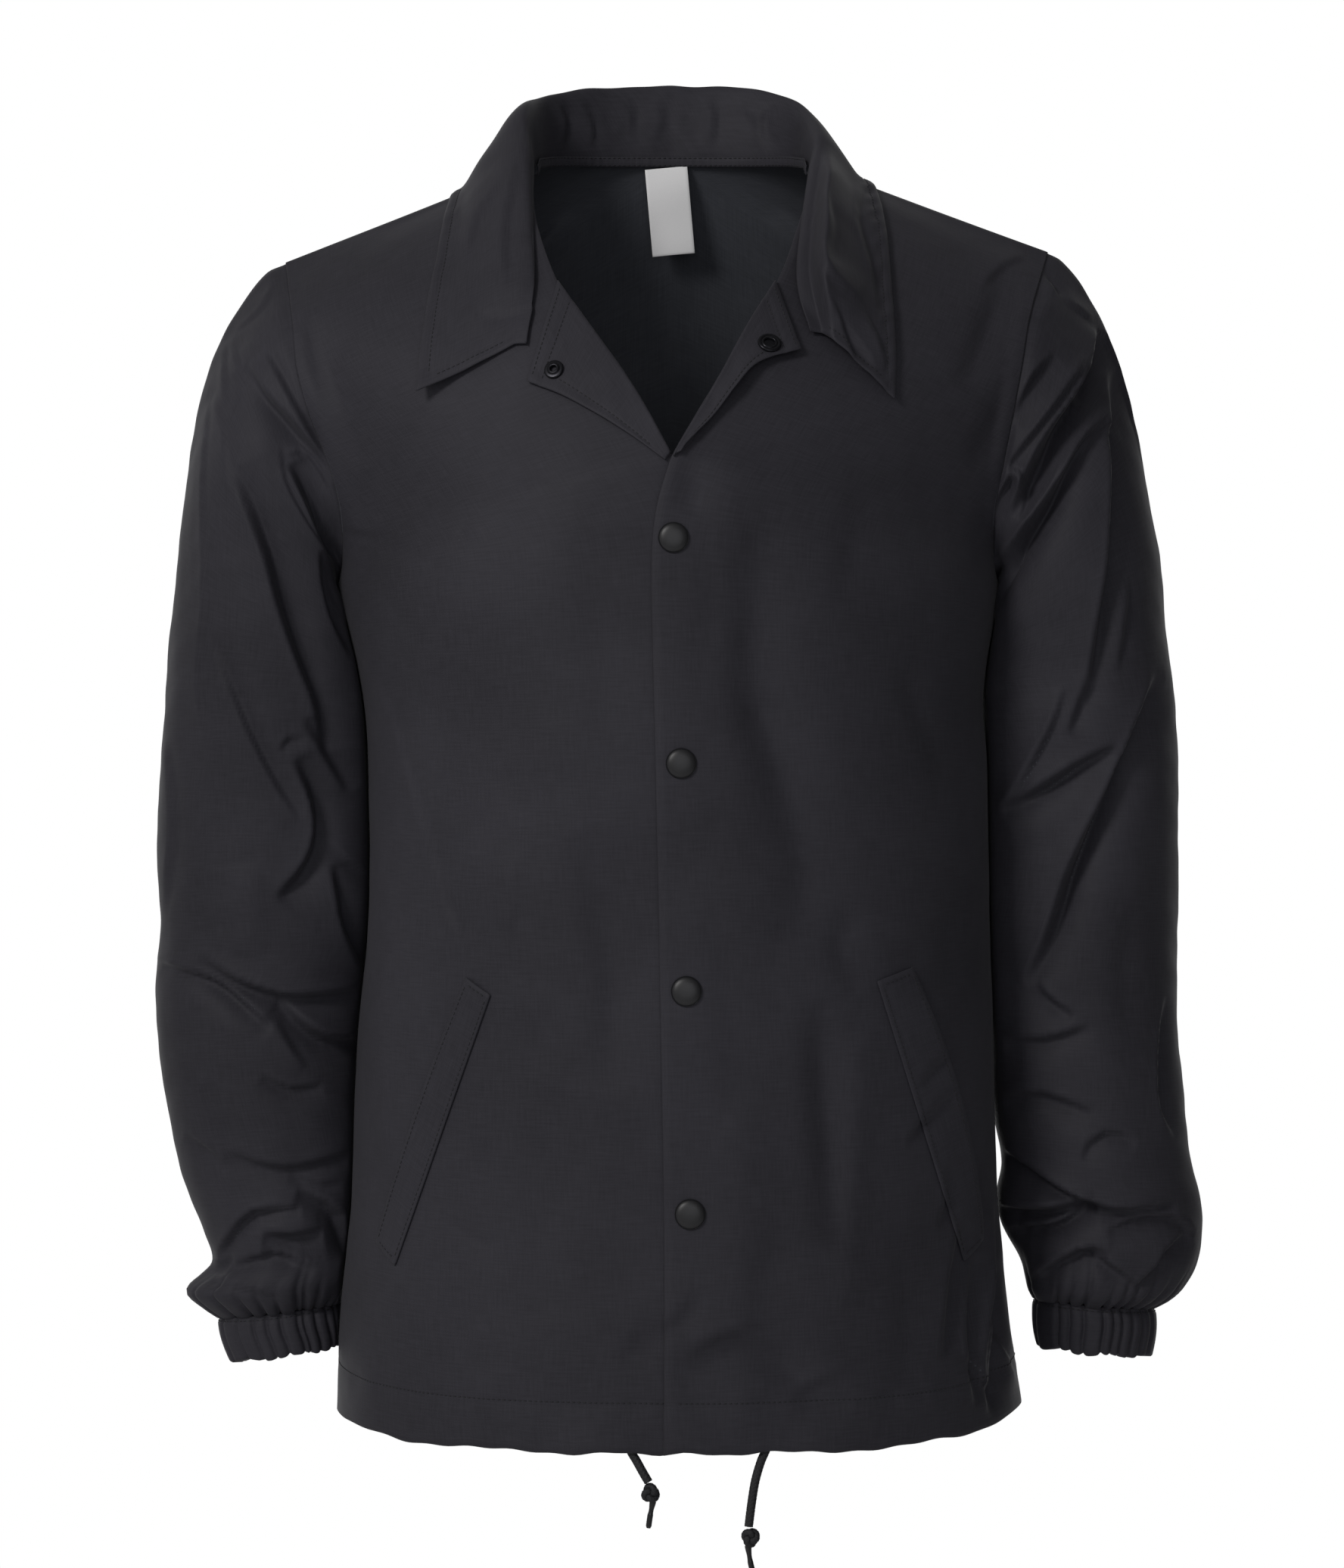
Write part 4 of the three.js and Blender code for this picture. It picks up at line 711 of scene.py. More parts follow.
print("folds on the fronts and the back:", len(FRONT_FOLDS), len(BACK_FOLDS))

# %% [markdown]
# A panel row runs from its inner edge to the seam. Between them the cloth rounds like a
# flattened circle: the exponent 2.25 is a little squarer than an ellipse, as a body is.
# Above the armpit, the rows fan out between the neckline and the armhole.

# %% Panel rows
LOWER_ROWS = 160
UPPER_ROWS = 88
PANEL_COLUMNS = 92
BREAK_ROW = 16
NECK_ROW = 56
BREAK = BREAK_ROW / UPPER_ROWS
NECK_START = NECK_ROW / UPPER_ROWS
SEAM_HALF = 0.06
EASE_REACH = 0.09
EASE_ROUNDS = 60
EASE_SHARE = 0.8
NECK_CORNER = (78, 16, 0)


def armhole(side, t, face):
    """A point of the armhole ring, from the armpit at 0 to the shoulder at 1."""
    ring = ARMHOLE[face]
    x = side * read(ring, "t", "x", t)
    z = read(ring, "t", "z", t)
    if side == LEFT:
        x = x - read(LEFT_ARMHOLE_IN, "t", "front" if face < 0 else "back", t)
        z = z + LEFT_ARMHOLE_RISE * t * t
    return stack(x, read(ring, "t", "y", t), z)


def armhole_inward(side, points):
    """The way into the jacket from its armhole seam."""
    towards = unit(stack(0, ARMHOLE_CENTRE[0] - points[..., 1], ARMHOLE_CENTRE[1] - points[..., 2]))
    return unit(towards + np.array([-0.6 * side, 0, 0]))


def armhole_outward(side, t, face):
    """Square to the ring, towards the sleeve."""
    after = armhole(side, np.minimum(t + 0.02, 1), face)
    before = armhole(side, np.maximum(t - 0.02, 0), face)
    tangent = unit(after - before)
    tangent[(t < 0.005) | (t > 0.995)] = (0, 1, 0)
    outward = unit(np.cross(tangent, armhole_inward(side, armhole(side, t, face))))
    return outward * np.sign(outward[..., :1] * side)


def lower_edges(side, face, level):
    """Inner and outer edge of the rows below the armpit."""
    z = mix(HEM_SIDE[side], ARMPIT, level)
    middle_z = mix(HEM_MIDDLE[face], ARMPIT, level)
    middle_y = read(BODY, "z", "front" if face < 0 else "back", z)
    edge = "over" if side == LEFT else "under"
    inner_x = read(PLACKET, "z", edge, z) if face < 0 else 0
    outer = stack(side * read(BODY, "z", NAMES[side], z), read(BODY, "z", "side", z), z)
    return stack(inner_x, middle_y, middle_z), outer


def upper_edges(side, face, t):
    """Inner and outer edge of the rows above the armpit."""
    if face < 0:
        edge = "over" if side == LEFT else "under"
        low = [read(PLACKET_TOP, "t", name, t) for name in (edge, "y", "z")]
        high = [read(FRONT_NECK, "t", name, t) for name in "xyz"]
        below = t <= BREAK + 0.001
    else:
        low = [read(BACK_MIDDLE, "t", name, t) for name in "xyz"]
        high = [read(BACK_NECK, "t", name, t) for name in "xyz"]
        below = t <= NECK_START + 0.001
    if side == LEFT and face < 0:
        high[0] = high[0] - LEFT_NECK_IN * smooth(0.4, 0.56, t) * (1 - smooth(0.7, 0.92, t))
    high[0] = high[0] * side
    inner = np.where(below[:, None], stack(*low), stack(*high))
    return inner, armhole(side, t, face), below


def above_zeros(values):
    """A column of values for the upper rows, with zeros for the rows below the armpit."""
    return np.concatenate([np.zeros(LOWER_ROWS), values])[:, None]


def panel_points(side, face):
    """The grid of a front or of half the back, with each row's level and each column's share."""
    low = np.linspace(0, 1, LOWER_ROWS, endpoint=False)
    t = np.linspace(0, 1, UPPER_ROWS + 1)
    inner_low, outer_low = lower_edges(side, face, low)
    inner_high, outer_high, below = upper_edges(side, face, t)
    inner = np.concatenate([inner_low, inner_high])[:, None, :]
    outer = np.concatenate([outer_low, outer_high])[:, None, :]
    square = 1 - (1 if face < 0 else 0.6) * smooth(0, 0.35, t)
    bulge = read(BACK_BULGE, "t", "depth", t) if face > 0 else np.zeros(len(t))
    crown = np.where(below & (face < 0), 0, inner_high[:, 0])
    square = 1 + above_zeros(square - 1)
    bulge, crown = above_zeros(bulge), above_zeros(crown)
    ease = 6 - above_zeros(np.full(len(t), 5.0))
    share = np.linspace(0, 1, PANEL_COLUMNS + 1)[None, :]
    spread = np.sin(share * math.pi / 2) ** SPREAD
    x = mix(inner[..., 0], outer[..., 0], spread)
    across = np.clip(np.abs((x - crown) / (outer[..., 0] - crown)), 0, 1)
    rounding = (1 - across ** ROUNDNESS) ** mix(1, 1 / ROUNDNESS, square)
    y = mix(outer[..., 1], inner[..., 1], rounding) + bulge * 4 * across * (1 - across)
    points = stack(x, y, mix(inner[..., 2], outer[..., 2], across ** ease))
    level = np.concatenate([low, 1 + t])
    return eased_rows(points, level, share[0]), level, share[0]


def eased_rows(points, level, share):
    """Rounds the bend between the body rows and the chest rows, but not at the seams."""
    near = np.exp(-((level - 1) / EASE_REACH) ** 2)[1:-1, None]
    strength = (near * (1 - smooth(0.8, 1, share))[None, :])[..., None]
    for _ in range(EASE_ROUNDS):
        between = (points[:-2] + points[2:]) / 2
        points[1:-1] += (between - points[1:-1]) * strength * EASE_SHARE
    return points


def cut_map(points):
    """Where each point lies on the cut cloth: across from column 0 and up from row 0."""
    across = np.linalg.norm(np.diff(points, axis=1), axis=-1)
    across = np.concatenate([np.zeros((len(points), 1)), np.cumsum(across, axis=1)], axis=1)
    up = np.linalg.norm(np.diff(points, axis=0), axis=-1).mean(axis=1)
    up = np.concatenate([[0], np.cumsum(up)])[:, None]
    return np.stack(np.broadcast_arrays(across, up), -1)


# %% [markdown]
# At a seam, two pieces are sewn face to face and their edges are turned inside. Each panel
# therefore rounds over and goes 6 mm into the jacket at its seams, which leaves the fine
# dark line that a seam has, and closes it to light. The hem is double cloth with the drawcord
# inside, 25 mm deep, held by one row of stitches that draws it in a little.

# %% Seams and hem
SEAM_ROUND = 0.7
SEAM_DEPTH = 6.0
HEM_DEPTH = 25.0
HEM_LEVEL = HEM_SIDE[RIGHT]
HEM_FLATNESS = 6
SINGLE_CLOTH = 0.7
DOUBLE_CLOTH = 1.7
PLACKET_RISE = 2.3
FREE_OF_SEAM = 11
FREE_OF_SHOULDER = 8
FORWARD_LEAN = 0.8


def turn_in(points, inward):
    """Adds the seam allowance after the last column: over a round edge, then straight in."""
    last, before = points[:, -1], points[:, -2]
    back_a_little = last + unit(before - last) * SEAM_ROUND
    over = last + inward * SEAM_ROUND
    inside = last + inward * SEAM_DEPTH
    return np.concatenate([points[:, :-1], np.stack([back_a_little, over, inside], axis=1)], axis=1)


def panel_inward(side, face, level):
    """Where the outer edge of a panel turns: straight in at the side, round the armhole above."""
    t = np.maximum(level - 1, 0)
    ring = armhole_inward(side, armhole(side, t, face))
    return np.where((level < 1)[:, None], np.array([-side, 0, 0]), ring)


def shoulder_inward(side):
    """The way into the jacket from its shoulder seam."""
    neck = np.array(NECK_CORNER) * (side, 1, 1)
    along = unit(armhole(side, np.array([1.0]), -1)[0] - neck)
    inward = unit(np.cross((0, 1, 0), along))
    return inward if inward[2] < 0 else -inward


def hem_height(side, face, points):
    """Height above the hem's edge, which rises a little towards the sides."""
    half = read(BODY, "z", NAMES[side], HEM_LEVEL)
    across = np.clip(np.abs(points[..., 0]) / half, 0, 1) ** HEM_FLATNESS
    return points[..., 2] - mix(HEM_MIDDLE[face], HEM_SIDE[side], across)


def hem_relief(height, x):
    """The groove of the hem's stitches, with the uneven puckers that the drawcord pulls."""
    puckers = np.sin(x / 3.1 + 2 * np.sin(x / 23)) + np.sin(x / 5.3 + 1.7)
    near = np.exp(-((height - HEM_DEPTH) / 7) ** 2)
    groove = np.exp(-((height - HEM_DEPTH) / 1.6) ** 2)
    wave = np.sin(x / 13 + 1.3 * np.sin(x / 41)) * np.exp(-(height / 14) ** 2)
    return 0.28 * puckers * near - 0.7 * groove + 1.1 * wave


def hem_scallops(height, x):
    """How the hem's edge waves up and down where the drawcord gathers it."""
    waves = 0.8 * np.sin(x / 9 + 1.5 * np.sin(x / 31)) + 0.4 * np.sin(x / 3.7)
    return waves * np.exp(-(height / 9) ** 2)


def panel_relief(face, points, normals):
    """Folds and unevenness of a panel, faded out at its armhole, side and shoulder seams."""
    free = smooth(0, FREE_OF_SEAM, np.linalg.norm(points - points[:, -1:], axis=-1))
    free = free * smooth(0, FREE_OF_SHOULDER, np.linalg.norm(points - points[-1:], axis=-1))
    relief = fold_relief(FRONT_FOLDS if face < 0 else BACK_FOLDS, face, points, normals)
    return (relief + unevenness(points, 0.55, 90, 4) + unevenness(points, 0.16, 34, 9)) * free


def shape_panel(side, face):
    """A panel's grid with folds, hem, seam gap and placket lift, and its wall thickness."""
    points, level, share = panel_points(side, face)
    normals = grid_normals(points)
    normals *= np.sign((normals[..., 1] * face).sum())
    if face > 0:
        normals[:LOWER_ROWS + NECK_ROW + 1, 0, 0] = 0
        normals = unit(normals)
    height = hem_height(side, face, points)
    at_hem = hem_relief(height, points[..., 0]) * (1 - smooth(0.985, 1, share)[None, :])
    relief = panel_relief(face, points, normals) + at_hem
    points = points + unit(normals + (0, FORWARD_LEAN * face, 0)) * relief[..., None]
    points[..., 2] += hem_scallops(height, points[..., 0])
    if side == LEFT and face < 0:
        points[..., 1] -= placket_lift(points)
    points[:, -1, 1] += np.where(level < 1, face * SEAM_HALF, 0)
    t = np.maximum(level - 1, 0)
    points[:, -1] -= np.where((level >= 1)[:, None], armhole_outward(side, t, face) * SEAM_HALF, 0)
    points[-1, :, 1] += face * SEAM_HALF
    single = smooth(HEM_DEPTH - 1, HEM_DEPTH + 1, height)
    return points, level, mix(DOUBLE_CLOTH, SINGLE_CLOTH, single)


def placket_lift(points):
    """The left front lies on the right one: it rises off the body near its free edge."""
    x, z = points[..., 0], points[..., 2]
    under = read(PLACKET, "z", "under", z)
    near = 1 - smooth(under + 4, under + 34, x)
    in_front = (z < -130) & (points[..., 1] < 0)
    return PLACKET_RISE * near * (1 - smooth(-186, -150, z)) * in_front


def seamed(points, level, thickness, side, face):
    """Turns in the outer edge and the shoulder edge of a panel's grid."""
    points = turn_in(points, panel_inward(side, face, level))
    thickness = np.concatenate([thickness, thickness[:, -1:], thickness[:, -1:]], axis=1)
    turned = turn_in(points.transpose(1, 0, 2), shoulder_inward(side)[None, :]).transpose(1, 0, 2)
    thickness = np.concatenate([thickness, thickness[-1:], thickness[-1:]], axis=0)
    return turned, thickness


# %% [markdown]
# The two fronts and the back are made from those rows. The left front laps over the right one.
# The back is one cut piece: its halves share their middle points up to the neckline, so equal
# points are merged before the wall is made.

# %% Fronts and back
def merged(points, faces, *others):
    """Points that coincide made one, with the faces and other values to match."""
    _, kept, number = np.unique(np.round(points, 2), axis=0, return_index=True, return_inverse=True)
    return points[kept], number.ravel()[faces], *(other[kept] for other in others)


def cloth(name, points, faces, thickness, flat, materials, slot, *nodes):
    """A wall of cloth as an object, in its place. A second material goes on its inner side."""
    walls, wall_faces = wall_of(points, faces, thickness)
    rim_count = len(walls) - 2 * len(points)
    flat_map = np.concatenate([flat, flat, np.zeros((rim_count, 2))])
    piece = add_piece(name, walls, wall_faces, materials[0], flat_map)
    if len(materials) > 1:
        piece.data.materials.append(materials[1])
        inner = (np.arange(len(wall_faces)) // len(faces) == 1).astype(int)
        piece.data.polygons.foreach_set("material_index", inner)
    return set_in_place(piece, slot, *nodes)


def sheet_area(points, faces):
    """The area of a sheet in square metres."""
    return float(np.linalg.norm(face_normals(points, faces), axis=-1).sum() / 2 * MM * MM)


def outward_faces(points, faces, outward):
    """Faces turned so that their normals look along outward on average."""
    ahead = face_normals(points, faces) @ np.array(outward, float)
    return faces if ahead.sum() > 0 else faces[:, ::-1]


def kept_sheet(key, side, grid, outward=(0, -1, 0)):
    """A grid's points, its faces turned outward and its cut map, kept for what lies on it."""
    points = grid.reshape(-1, 3)
    faces = outward_faces(points, grid_faces(*grid.shape[:2]), outward)
    SHEETS[key, side] = (points, faces)
    return points, faces, cut_map(grid).reshape(-1, 2)


def kept_tube(key, side, grid):
    """The same for a tube, whose faces turn away from its middle."""
    points = grid.reshape(-1, 3)
    faces = grid_faces(*grid.shape[:2], wraps=True)
    away = points[faces[:, 0]] - points.mean(axis=0)
    if (face_normals(points, faces) * away)[:, :2].sum() < 0:
        faces = faces[:, ::-1]
    SHEETS[key, side] = (points, faces)
    return points, faces, cut_map(grid).reshape(-1, 2)


# The inner faces take the coated side, painted paler as painted light for the inside of the jacket.
SHELL = [NYLON, COATED_SIDE_WITH_PAINTED_LIGHT]
WALL = dict(sleeve=0.7, cuff=0.9, facing=0.8, welt=1.0, collar=1.1, tape=0.6, label=0.3)
SHEETS = {}
GRIDS = {}


def panel(side, face):
    """A front or half the back, with its seams turned in: points, faces, cut map, thickness."""
    key = "front" if face < 0 else "back"
    grid, level, thickness = shape_panel(side, face)
    GRIDS[key, side] = grid
    grid, thickness = seamed(grid, level, thickness, side, face)
    points, faces, flat = kept_sheet(key, side, grid, (0, face, 0))
    return points, faces, flat * np.array([side, 1]), thickness.ravel()


def front(side):
    """One front of the jacket."""
    points, faces, flat, thickness = panel(side, -1)
    name = NAMES[side]
    return cloth(f"cloth_front_{name}", points, faces, thickness, flat, SHELL, "nylon", f"front_{name}")


def back():
    """The back: two halves that share their middle, with one cut map."""
    halves, faces, flats, walls = zip(*(panel(side, 1) for side in (RIGHT, LEFT)))
    for side in (RIGHT, LEFT):
        del SHEETS["back", side]
    faces = (faces[0], faces[1] + len(halves[0]))
    same_up = (flats[0][:, 1] + flats[1][:, 1]) / 2
    for flat in flats:
        flat[:, 1] = same_up
    points, faces, flat, thickness = merged(
        np.concatenate(halves), np.concatenate(faces), np.concatenate(flats), np.concatenate(walls))
    SHEETS["back", 0] = (points, faces)
    return cloth("cloth_back", points, faces, thickness, flat, SHELL, "nylon", "back")


cloth_front = {side: front(side) for side in (RIGHT, LEFT)}
cloth_back = back()
for key, sheet in SHEETS.items():
    print(key, "area in square metres:", round(sheet_area(*sheet), 4))

# %% [markdown]
# A set-in sleeve is a tube whose head is sewn to the armhole ring. It leaves the ring down and
# outwards and turns into level oval sections. The head and the arm are one grid, and the
# sections' sizes follow the outline of the real sleeve. Near the cuff the wide cloth is drawn
# together by the elastic, so pleats run up from there and fade out.

# %% Sleeve and cuff sizes
SLEEVE = {
    RIGHT: table(
        "z outer wide middle deep",
        (-655, 259.5, 36, 25, 32), (-649, 268, 43, 26, 40), (-641, 277, 50, 27, 46),
        (-632, 269, 46, 28, 46), (-624, 263, 43, 29, 46), (-608, 268.5, 47, 31, 51),
        (-574, 281, 54, 33, 57), (-539, 289.5, 58, 34, 60), (-504, 294.5, 61, 35, 61),
        (-470, 297, 64, 35, 63), (-436, 294, 65, 34, 65), (-400, 296, 66, 32, 67),
        (-350, 294, 65, 28, 69), (-300, 289.5, 63, 23, 70), (-260, 286, 61, 20, 70),
    ),
    LEFT: table(
        "z outer wide middle deep",
        (-650, 275, 34, 15, 32), (-645, 284, 40, 15, 40), (-639, 291, 44.5, 16, 45),
        (-626, 299.5, 51, 17, 49), (-608, 302.6, 57, 18, 52), (-591, 302, 58, 19, 54),
        (-574, 298, 55, 20, 56), (-556, 295, 54.5, 22, 58), (-522, 293, 56, 25, 60),
        (-487, 290, 58, 27, 62), (-417, 290, 61, 28, 66), (-350, 290, 61, 25, 68),
        (-300, 287, 60, 22, 70), (-260, 281, 58, 20, 70),
    ),
}
CAP_END = -300
CAP_START = {RIGHT: 0.25, LEFT: 0.2}
CAP_FINISH = 0.52
SLEEVE_CLEAR = 1.2
SLEEVE_SINK = 1.1
INNER_FLATNESS = 0.78
VALLEYS = {
    RIGHT: [190.5, 193, 197, 203, 209, 212.5, 222, 230, 238, 248, 256],
    LEFT: [208, 218, 224, 232, 243, 249, 254, 260, 266, 271],
}
BACK_VALLEYS = 13
VALLEY_WIDTH = 1.3
CUFF = {
    RIGHT: dict(top=-655.3, bottom=-679, x=223.5, y=25, low_x=218.5, low_y=22, wide=36, deep=32, tilt=9),
    LEFT: dict(top=-650.3, bottom=-677, x=241, y=15, low_x=241, low_y=13, wide=34, deep=32, tilt=5),
}
CAP_ROWS = 78
ARM_ROWS = 168
SLEEVE_COLUMNS = 180
FRONT_FOLD_STRENGTH = {RIGHT: 1.0, LEFT: 1.18}
FRONT_SHARE = 0.23
HEAD_FULLNESS = 2.0
PLEAT_DEPTH = 1.5

# %% Folds of the sleeves
SLEEVE_FRONT_FOLDS = {
    RIGHT: [
        ([(-263, -137), (-264, -180), (-263, -240), (-265, -280), (-266, -305), (-258, -350),
          (-254, -376)], 4.2, 1.5),
        ([(-254, -105), (-253, -125), (-251, -142)], 4, 1.1),
        ([(-259, -137), (-252, -155), (-249, -175), (-245, -198)], 4.5, 1.3),
        ([(-250, -102), (-245, -118), (-240, -133)], 4, 0.9),
        ([(-248, -97), (-238, -90), (-228, -80), (-226, -68)], 4.5, 1.0),
        ([(-240, -121), (-229, -139), (-216, -153), (-204, -167), (-186, -186)], 8.5, -8.4),
        ([(-226, -112), (-216, -129), (-206, -147), (-192, -168)], 5.5, -3.4),
        ([(-215, -171), (-206, -168), (-198, -176), (-189, -191)], 4.2, 2.6),
        ([(-211, -176), (-204, -190), (-197, -206), (-191, -220), (-182, -236)], 8, -9),
        ([(-217, -168), (-214, -186), (-205, -204), (-195, -221), (-189, -231)], 3.8, -1.9),
        ([(-195, -224), (-192, -246), (-187, -264), (-178, -283)], 6, -4.2),
        ([(-242, -178), (-231, -205), (-222, -229), (-216, -252), (-206, -282), (-197, -306),
          (-190, -336)], 9.8, -9),
        ([(-256, -274), (-245, -301), (-234, -327), (-221, -352), (-207, -374)], 6, -3.8),
        ([(-204, -318), (-190, -340), (-180, -358)], 8.5, -4.2),
        ([(-219, -337), (-213, -330), (-206, -330)], 4.2, -2.2),
        ([(-209, -340), (-199, -362), (-197, -384), (-204, -403), (-220, -421)], 9, -9),
        ([(-194, -388), (-185, -397), (-177, -405), (-169, -412)], 4.2, -2.2),
        ([(-188, -400), (-185, -420), (-182, -436), (-171, -462)], 8.5, -5.8),
        ([(-268, -454), (-250, -466), (-232, -473), (-212, -477), (-177, -475)], 8, -8.4),
        ([(-298, -457), (-280, -461), (-262, -467), (-244, -479), (-225, -494)], 6, -5.8),
        ([(-224, -489), (-216, -503), (-207, -515)], 6, 2.6),
        ([(-223, -479), (-206, -495), (-192, -502), (-172, -504)], 9.5, -8),
        ([(-231, -520), (-215, -528), (-197, -526)], 5.5, -3.6),
        ([(-252, -564), (-230, -572), (-210, -573), (-183, -567)], 8.5, -5.4),
        ([(-215, -576), (-200, -582), (-187, -582)], 6, -2.6),
        ([(-211, -586), (-196, -594), (-188, -604), (-183, -626)], 8, -6.4),
        ([(-231, -611), (-214, -612), (-197, -610)], 8.5, -7),
        ([(-257, -625), (-247, -609), (-238, -599), (-226, -596), (-209, -595)], 5.5, -6),
        ([(-273, -634), (-260, -632), (-249, -623)], 5, -3.6),
        ([(-251, -631), (-236, -624), (-222, -622), (-202, -631)], 5.5, -4.4),
        ([(-263, -637), (-242, -641), (-223, -646)], 5, -3.0),
        ([(-284, -330), (-281, -380), (-286, -430)], 8, -2.0),
        ([(-276, -555), (-262, -564), (-251, -573)], 7, -2.4),
        ([(-240, -400), (-236, -430), (-240, -452)], 12, 2.4),
    ],
    LEFT: [
        ([(245, -98), (238, -124), (228, -142), (216, -158), (205, -176), (192, -206)], 9.8, -13),
        ([(244, -99), (241, -118), (235, -140)], 4.2, -3.0),
        ([(248, -151), (234, -165), (222, -183), (210, -200), (196, -220), (176, -252)], 9, -11.5),
        ([(231, -116), (221, -130), (208, -148), (196, -164), (184, -179)], 5, 3.8),
        ([(183, -187), (188, -179), (193, -181), (195, -194), (193, -207)], 4.2, 3.0),
        ([(191, -183), (185, -192), (176, -207)], 5, -5),
        ([(215, -117), (204, -128), (196, -141), (189, -153)], 7, -4.2),
        ([(255, -118), (252, -165), (249, -200), (246, -235), (241, -268), (234, -312)], 9.8, -9),
        ([(207, -59), (213, -68), (219, -80)], 4.2, -2.6),
        ([(205, -62), (204, -74), (207, -85)], 4.2, -2.4),
        ([(221, -82), (230, -86), (239, -91)], 4, 1.1),
        ([(234, -297), (229, -312), (223, -329)], 8, -3.6),
        ([(218, -301), (212, -319), (203, -338), (192, -358), (184, -369)], 5, 3.8),
        ([(250, -335), (230, -345), (216, -354), (203, -362), (186, -371)], 8.5, -7.4),
        ([(275, -294), (262, -325), (253, -347), (243, -368), (233, -388), (224, -408),
          (217, -430), (211, -447), (200, -468)], 9.5, -11),
        ([(202, -468), (212, -478), (225, -486)], 6, -3.6),
        ([(188, -501), (210, -500), (235, -492)], 7, -4.6),
        ([(188, -534), (205, -531), (220, -535), (235, -540)], 7, -4.4),
        ([(231, -567), (236, -556), (248, -551), (261, -557)], 6, -3.4),
        ([(184, -563), (205, -578), (221, -587), (236, -593), (252, -596), (284, -592)], 7, -8.4),
        ([(176, -599), (208, -598), (238, -592)], 9.8, -11),
        ([(185, -612), (206, -608), (216, -605), (233, -595)], 7, -7),
        ([(245, -607), (256, -603), (271, -600), (285, -602), (295, -612)], 6.5, -5.2),
        ([(205, -638), (214, -629), (225, -622), (236, -618), (245, -621)], 7.5, -6.4),
        ([(225, -617), (240, -624), (252, -632), (264, -641)], 6.5, -4.0),
        ([(261, -639), (272, -631), (280, -619), (293, -611)], 6.5, -5.4),
        ([(281, -476), (277, -502), (277, -535), (285, -554)], 5, -3.0),
        ([(256, -236), (252, -265), (247, -292)], 8, 2.8),
        ([(262, -420), (256, -460), (262, -500)], 12, -2.0),
    ],
}
SLEEVE_BACK_FOLDS = {
    RIGHT: [
        ([(-262, -150), (-230, -210), (-200, -262)], 12, -5),
        ([(-248, -110), (-222, -150), (-196, -190)], 9, -3.6),
        ([(-275, -300), (-245, -350), (-215, -412)], 12, -4),
        ([(-285, -455), (-240, -470), (-200, -462)], 10, -5),
        ([(-262, -424), (-232, -440), (-196, -430)], 8, -3),
        ([(-270, -570), (-235, -585), (-200, -575)], 10, -4),
        ([(-262, -612), (-232, -622), (-204, -610)], 7, -3.4),
        ([(-236, -380), (-226, -420), (-232, -456)], 10, 2.4),
        ([(-280, -500), (-250, -520), (-214, -516)], 9, -2.6),
    ],
    LEFT: [
        ([(258, -150), (226, -215), (200, -272)], 12, -5),
        ([(244, -110), (220, -150), (194, -192)], 9, -3.6),
        ([(275, -320), (240, -370), (212, -432)], 12, -4),
        ([(285, -470), (240, -480), (205, -470)], 10, -5),
        ([(262, -436), (236, -450), (204, -442)], 8, -3),
        ([(285, -585), (245, -598), (212, -588)], 10, -4),
        ([(280, -626), (250, -634), (222, -622)], 7, -3.4),
        ([(238, -390), (230, -430), (236, -466)], 10, 2.4),
        ([(284, -520), (254, -534), (218, -528)], 9, -2.6),
    ],
}
fold_groups = [*SLEEVE_FRONT_FOLDS.values(), *SLEEVE_BACK_FOLDS.values()]
print("folds on the sleeves:", sum(len(group) for group in fold_groups))

# %% Sleeve shape
def sleeve_section(side, z, angle):
    """An oval section of the sleeve, tilted near the cuff as the cuff is."""
    sizes = SLEEVE[side]
    wide = read(sizes, "z", "wide", z)
    deep = read(sizes, "z", "deep", z)
    centre = read(sizes, "z", "outer", z) - wide
    tilt = CUFF[side]["tilt"] / 2 * (1 - smooth(sizes["z"][0], CAP_END, z))
    flat = mix(1, INNER_FLATNESS, smooth(0, 0.5, -np.cos(angle)))
    ahead = np.sign(np.sin(angle)) * np.abs(np.sin(angle)) ** flat
    return stack(side * (centre + wide * np.cos(angle)),
                 read(sizes, "z", "middle", z) - deep * ahead,
                 z - tilt * np.cos(angle))


def ring_points(side, turn):
    """The armhole ring seen from the sleeve, for turns from 0 at the shoulder round the front."""
    in_front = turn <= 0.5
    t = np.where(in_front, 1 - 2 * turn, 2 * turn - 1)
    both = {face: armhole(side, t, face) for face in (-1, 1)}
    out = {face: armhole_outward(side, t, face) for face in (-1, 1)}
    point = np.where(in_front[:, None], both[-1], both[1])
    outward = np.where(in_front[:, None], out[-1], out[1])
    inward = armhole_inward(side, point)
    return point + outward * SEAM_HALF + inward * SLEEVE_SINK, inward


def bezier(a, b, c, d, share):
    """A cubic curve from a to d with the handles b and c."""
    u = share
    return a * (1 - u) ** 3 + 3 * b * u * (1 - u) ** 2 + 3 * c * u * u * (1 - u) + d * u ** 3


def cap_points(side, turn, share):
    """The sleeve head, from the ring at share 0 to the first level section at 1."""
    start, _ = ring_points(side, turn)
    angle = turn * 2 * math.pi
    end = sleeve_section(side, CAP_END, angle)
    reach = np.linalg.norm(end - start, axis=-1, keepdims=True)
    leaving = np.array([side * 0.85, 0, -0.53]) * reach * CAP_START[side]
    slope = unit(sleeve_section(side, CAP_END + 10, angle) - sleeve_section(side, CAP_END - 10, angle))
    arriving = slope * reach * CAP_FINISH
    return bezier(start, start + leaving, end + arriving, end, share[:, None, None])


def body_reach(side, y, z):
    """The body's half width at a depth and level."""
    level = np.clip(z, BODY["z"][0], ARMPIT)
    half = read(BODY, "z", NAMES[side], level)
    seam = read(BODY, "z", "side", level)
    middle = np.where(y < seam, read(BODY, "z", "front", level), read(BODY, "z", "back", level))
    across = np.clip((y - seam) / (middle - seam), 0, 1)
    return half * (1 - across ** ROUNDNESS) ** (1 / ROUNDNESS)


